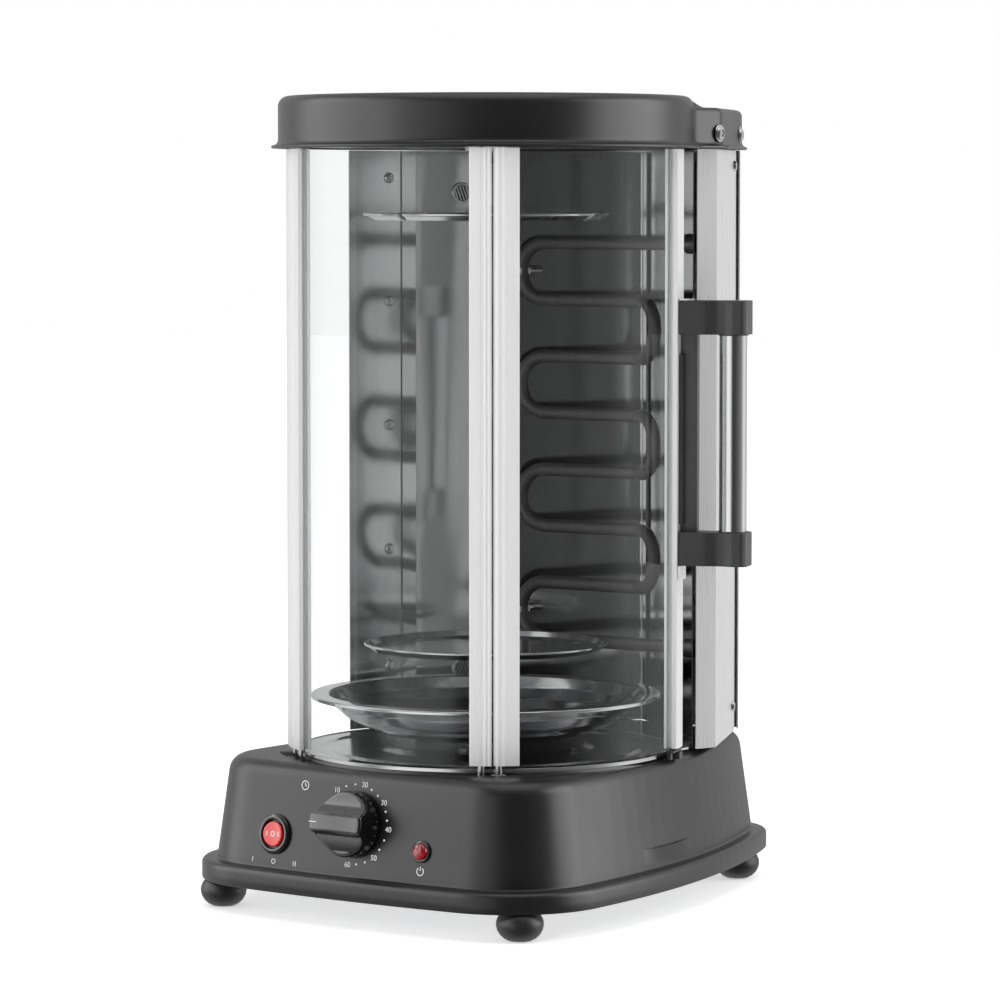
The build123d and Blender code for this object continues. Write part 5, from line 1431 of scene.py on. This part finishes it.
def bar_mark(cx, w, h):
    return prism_mesh("m", rounded([(cx - w / 2, -h / 2), (cx + w / 2, -h / 2), (cx + w / 2, h / 2), (cx - w / 2, h / 2)], w * 0.3, 2), -0.15, 0.10, 1, mark_place)


def ring_mark(cx, r, w, n=28):
    verts, faces = [], []
    for i in range(n):
        a = 2 * pi * i / n
        for rr, z in ((r - w / 2, -0.15), (r + w / 2, -0.15), (r + w / 2, 0.10), (r - w / 2, 0.10)):
            verts.append(mark_place(cx + rr * cos(a), rr * sin(a), z))
    for i in range(n):
        k = (i + 1) % n
        for j in range(4):
            l = (j + 1) % 4
            faces.append([i * 4 + j, k * 4 + j, k * 4 + l, i * 4 + l])
    return mesh_of("m", verts, faces)


finish_mesh("switch_rocker_marks", joined("switch_rocker_marks", [bar_mark(-4.3, 0.55, 2.6), ring_mark(0, 1.35, 0.55), bar_mark(3.7, 0.5, 2.6), bar_mark(4.9, 0.5, 2.6)]), "ink", "rocker", (), 30)
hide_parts("switch_rocker")

# lamp: gloss black bezel ring and cut lens
pl_ = panel(*LAMP)
lathe("lamp_bezel_ring", rounded([(3.7, -12), (4.5, -12), (4.5, 0.05), (6.2, 0.05), (6.2, 1.1), (5.4, 1.6), (3.7, 1.3)], [0, 0.2, 0.2, 0.2, 0.5, 0.4, 0.2], 4), "gloss", "root", ("lamp_bezel",), 64, 40, True, pl_)
verts, rows, NSL = [], [], 24
LR = [(0.001, 4.45), (1.5, 4.38), (2.6, 4.1), (3.6, 3.6), (4.4, 2.8), (4.85, 1.9), (4.9, 1.42), (3.5, 1.40), (3.5, -5.8), (0.001, -5.8)]
verts, faces, rows = [], [], []
for j, (r, z) in enumerate(LR):
    if r < 0.01:
        rows.append([len(verts)] * NSL)
        verts.append(pl_(0, 0, z))
    else:
        rows.append([len(verts) + i for i in range(NSL)])
        for i in range(NSL):
            a = 2 * pi * (i + (0.5 if j % 2 else 0)) / NSL
            verts.append(pl_(r * cos(a), r * sin(a), z + (0.10 if (i % 2 == 0 and 0 < j < 5) else 0)))
for a_, b_ in zip(rows, rows[1:]):
    for i in range(NSL):
        k = (i + 1) % NSL
        for f in ([a_[i], a_[k], b_[i]], [a_[k], b_[k], b_[i]]):
            if len(set(f)) == 3:
                faces.append(f)
finish_mesh("lamp_lens_cut", mesh_of("lamp_lens_cut", verts, faces), "lens", "root", ("lamp_lens",), 9)

# ---------------------------------------------------------------------
# Printed legends: thin raised ink on the wall
# ---------------------------------------------------------------------
legends = []


def on_wall(u, v, w, x0, z0):
    """A point u across and v up the wall from (x0, z0), w outwards, following the bowed wall."""
    x = x0 + u
    z = z0 + v * cos(radians(8.0))
    p = P(x, front_y(x, z), z)
    b = asin(x / (FRONT_R - 9.0))
    n = Vector((sin(b) * cos(radians(8)), -cos(b) * cos(radians(8)), sin(radians(8))))
    return p + n * (w * MM)


def add_shape(outline_pts_, x0, z0, holes=None):
    legends.append(prism_mesh("l", outline_pts_, -0.05, 0.07, 1, lambda u, v, w: on_wall(u, v, w, x0, z0)))


def add_text(body, x0, z0, size, u, v):
    cu = bpy.data.curves.new("t", "FONT")
    cu.body = body
    cu.size = size
    cu.align_x = "CENTER"
    cu.align_y = "CENTER"
    cu.extrude = 0.06
    cu.resolution_u = 4
    o = bpy.data.objects.new("t", cu)
    scene.collection.objects.link(o)
    bpy.context.view_layer.update()
    me = bpy.data.meshes.new_from_object(o.evaluated_get(bpy.context.evaluated_depsgraph_get()))
    bpy.data.objects.remove(o)
    bpy.data.curves.remove(cu)
    me.transform(Matrix.Identity(4))
    for vt in me.vertices:
        vt.co = on_wall(vt.co.x + u, vt.co.y + v, vt.co.z + 0.01, x0, z0)
    legends.append(me)


DIAL_R = 23.2
NUMS = [(180, "0"), (128, "10"), (78, "20"), (36, "30"), (-3, "40"), (-50, "50"), (-97, "60")]
for a, t in NUMS:
    r = 26.5 if t == "0" else DIAL_R
    add_text(t, KNOB[0], KNOB[1], 4.3, r * 1.02 * cos(radians(a)), r * sin(radians(a)))
for (a0, _), (a1, _) in zip(NUMS, NUMS[1:]):
    for k in (1, 2):
        a = a0 + (a1 - a0) * k / 3
        add_shape([(0.62 * cos(2 * pi * i / 16) + (DIAL_R - 0.6) * cos(radians(a)), 0.62 * sin(2 * pi * i / 16) + (DIAL_R - 0.6) * sin(radians(a))) for i in range(16)], *KNOB)


def ring_shape(cu_, cv_, r, w, x0, z0, a0=0, a1=360, n=40):
    full = abs(a1 - a0) >= 360
    m = n if full else n + 1
    verts, faces = [], []
    for i in range(m):
        a = radians(a0 + (a1 - a0) * i / n)
        for rr, z in ((r - w / 2, -0.05), (r + w / 2, -0.05), (r + w / 2, 0.07), (r - w / 2, 0.07)):
            verts.append(on_wall(cu_ + rr * cos(a), cv_ + rr * sin(a), z, x0, z0))
    for i in range(n):
        k = (i + 1) % m
        for j in range(4):
            l = (j + 1) % 4
            faces.append([i * 4 + j, k * 4 + j, k * 4 + l, i * 4 + l])
    if not full:
        faces += [[0, 1, 2, 3], [n * 4 + 3, n * 4 + 2, n * 4 + 1, n * 4]]
    legends.append(mesh_of("l", verts, faces))


def bar_shape(u0, v0, u1, v1, w, x0, z0):
    dx, dy = u1 - u0, v1 - v0
    l = hypot(dx, dy)
    nx, ny = -dy / l * w / 2, dx / l * w / 2
    add_shape(rounded([(u0 + nx, v0 + ny), (u0 - nx, v0 - ny), (u1 - nx, v1 - ny), (u1 + nx, v1 + ny)], w * 0.3, 2), x0, z0)


# clock sign above the dial, power sign under the lamp, switch signs under the rocker
CX, CZ = -36.6, 77.0
ring_shape(0, 0, 2.5, 0.5, CX, CZ)
bar_shape(0, 0, 0, 1.7, 0.45, CX, CZ)
bar_shape(0, 0, 1.25, -0.5, 0.45, CX, CZ)
ring_shape(0, -11.0, 2.2, 0.55, LAMP[0], LAMP[1], 125, 415)
bar_shape(0, -10.6, 0, -8.3, 0.55, LAMP[0], LAMP[1])
for u, t in ((-16.0, 1), (0.0, 0), (16.0, 2)):
    v = -15.6
    if t == 0:
        ring_shape(u, v, 1.3, 0.5, *SWITCH)
    elif t == 1:
        bar_shape(u, v - 1.5, u, v + 1.5, 0.55, *SWITCH)
    else:
        bar_shape(u - 0.75, v - 1.5, u - 0.75, v + 1.5, 0.55, *SWITCH)
        bar_shape(u + 0.75, v - 1.5, u + 0.75, v + 1.5, 0.55, *SWITCH)
leg = finish_mesh("dial_legends", joined("dial_legends", legends), "ink", "root", (), 25)
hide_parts("base_shell")

# =====================================================================
# Feet
# =====================================================================
FEET = [(-106, -114), (106, -114), (-79, 150), (79, 150)]
parts = []
for fx, fy in FEET:
    parts.append(lathe_mesh("f", [(0, 0.0), (4.6, 0.0), (6.6, 0.35), (9.2, 1.7), (11.3, 3.7), (12.8, 6.3), (13.4, 9.0), (13.2, 11.4), (12.3, 13.6), (11.3, 15.0), (10.6, 15.8), (7.4, 15.9), (7.4, 16.6), (2.5, 16.6), (2.5, 18.0), (3.6, 18.3), (2.6, 22.0), (0, 22.0)],
                            64, False, lambda x, y, z, a=fx, b=fy: P(a + x, b + y, z)))
finish_mesh("ball_feet", joined("ball_feet", parts), "rubber", "root", ("feet",), 50)

# =====================================================================
# Which lights reach which finishes
# =====================================================================
dark = bpy.data.collections.new("dark_finishes")
pale = bpy.data.collections.new("pale_finishes")
DARK = {M[k].name for k in ("paint", "rubber", "black", "gloss", "grey_plate", "red", "lens", "ceramic")}
for o in scene.objects:
    if o.type == "MESH":
        is_dark = bool(o.data.materials) and o.data.materials[0] and o.data.materials[0].name in DARK
        (dark if is_dark else pale).objects.link(o)
for l in DARK_LIGHTS:
    l.light_linking.receiver_collection = dark
for l in PALE_LIGHTS:
    l.light_linking.receiver_collection = pale

bpy.context.view_layer.update()
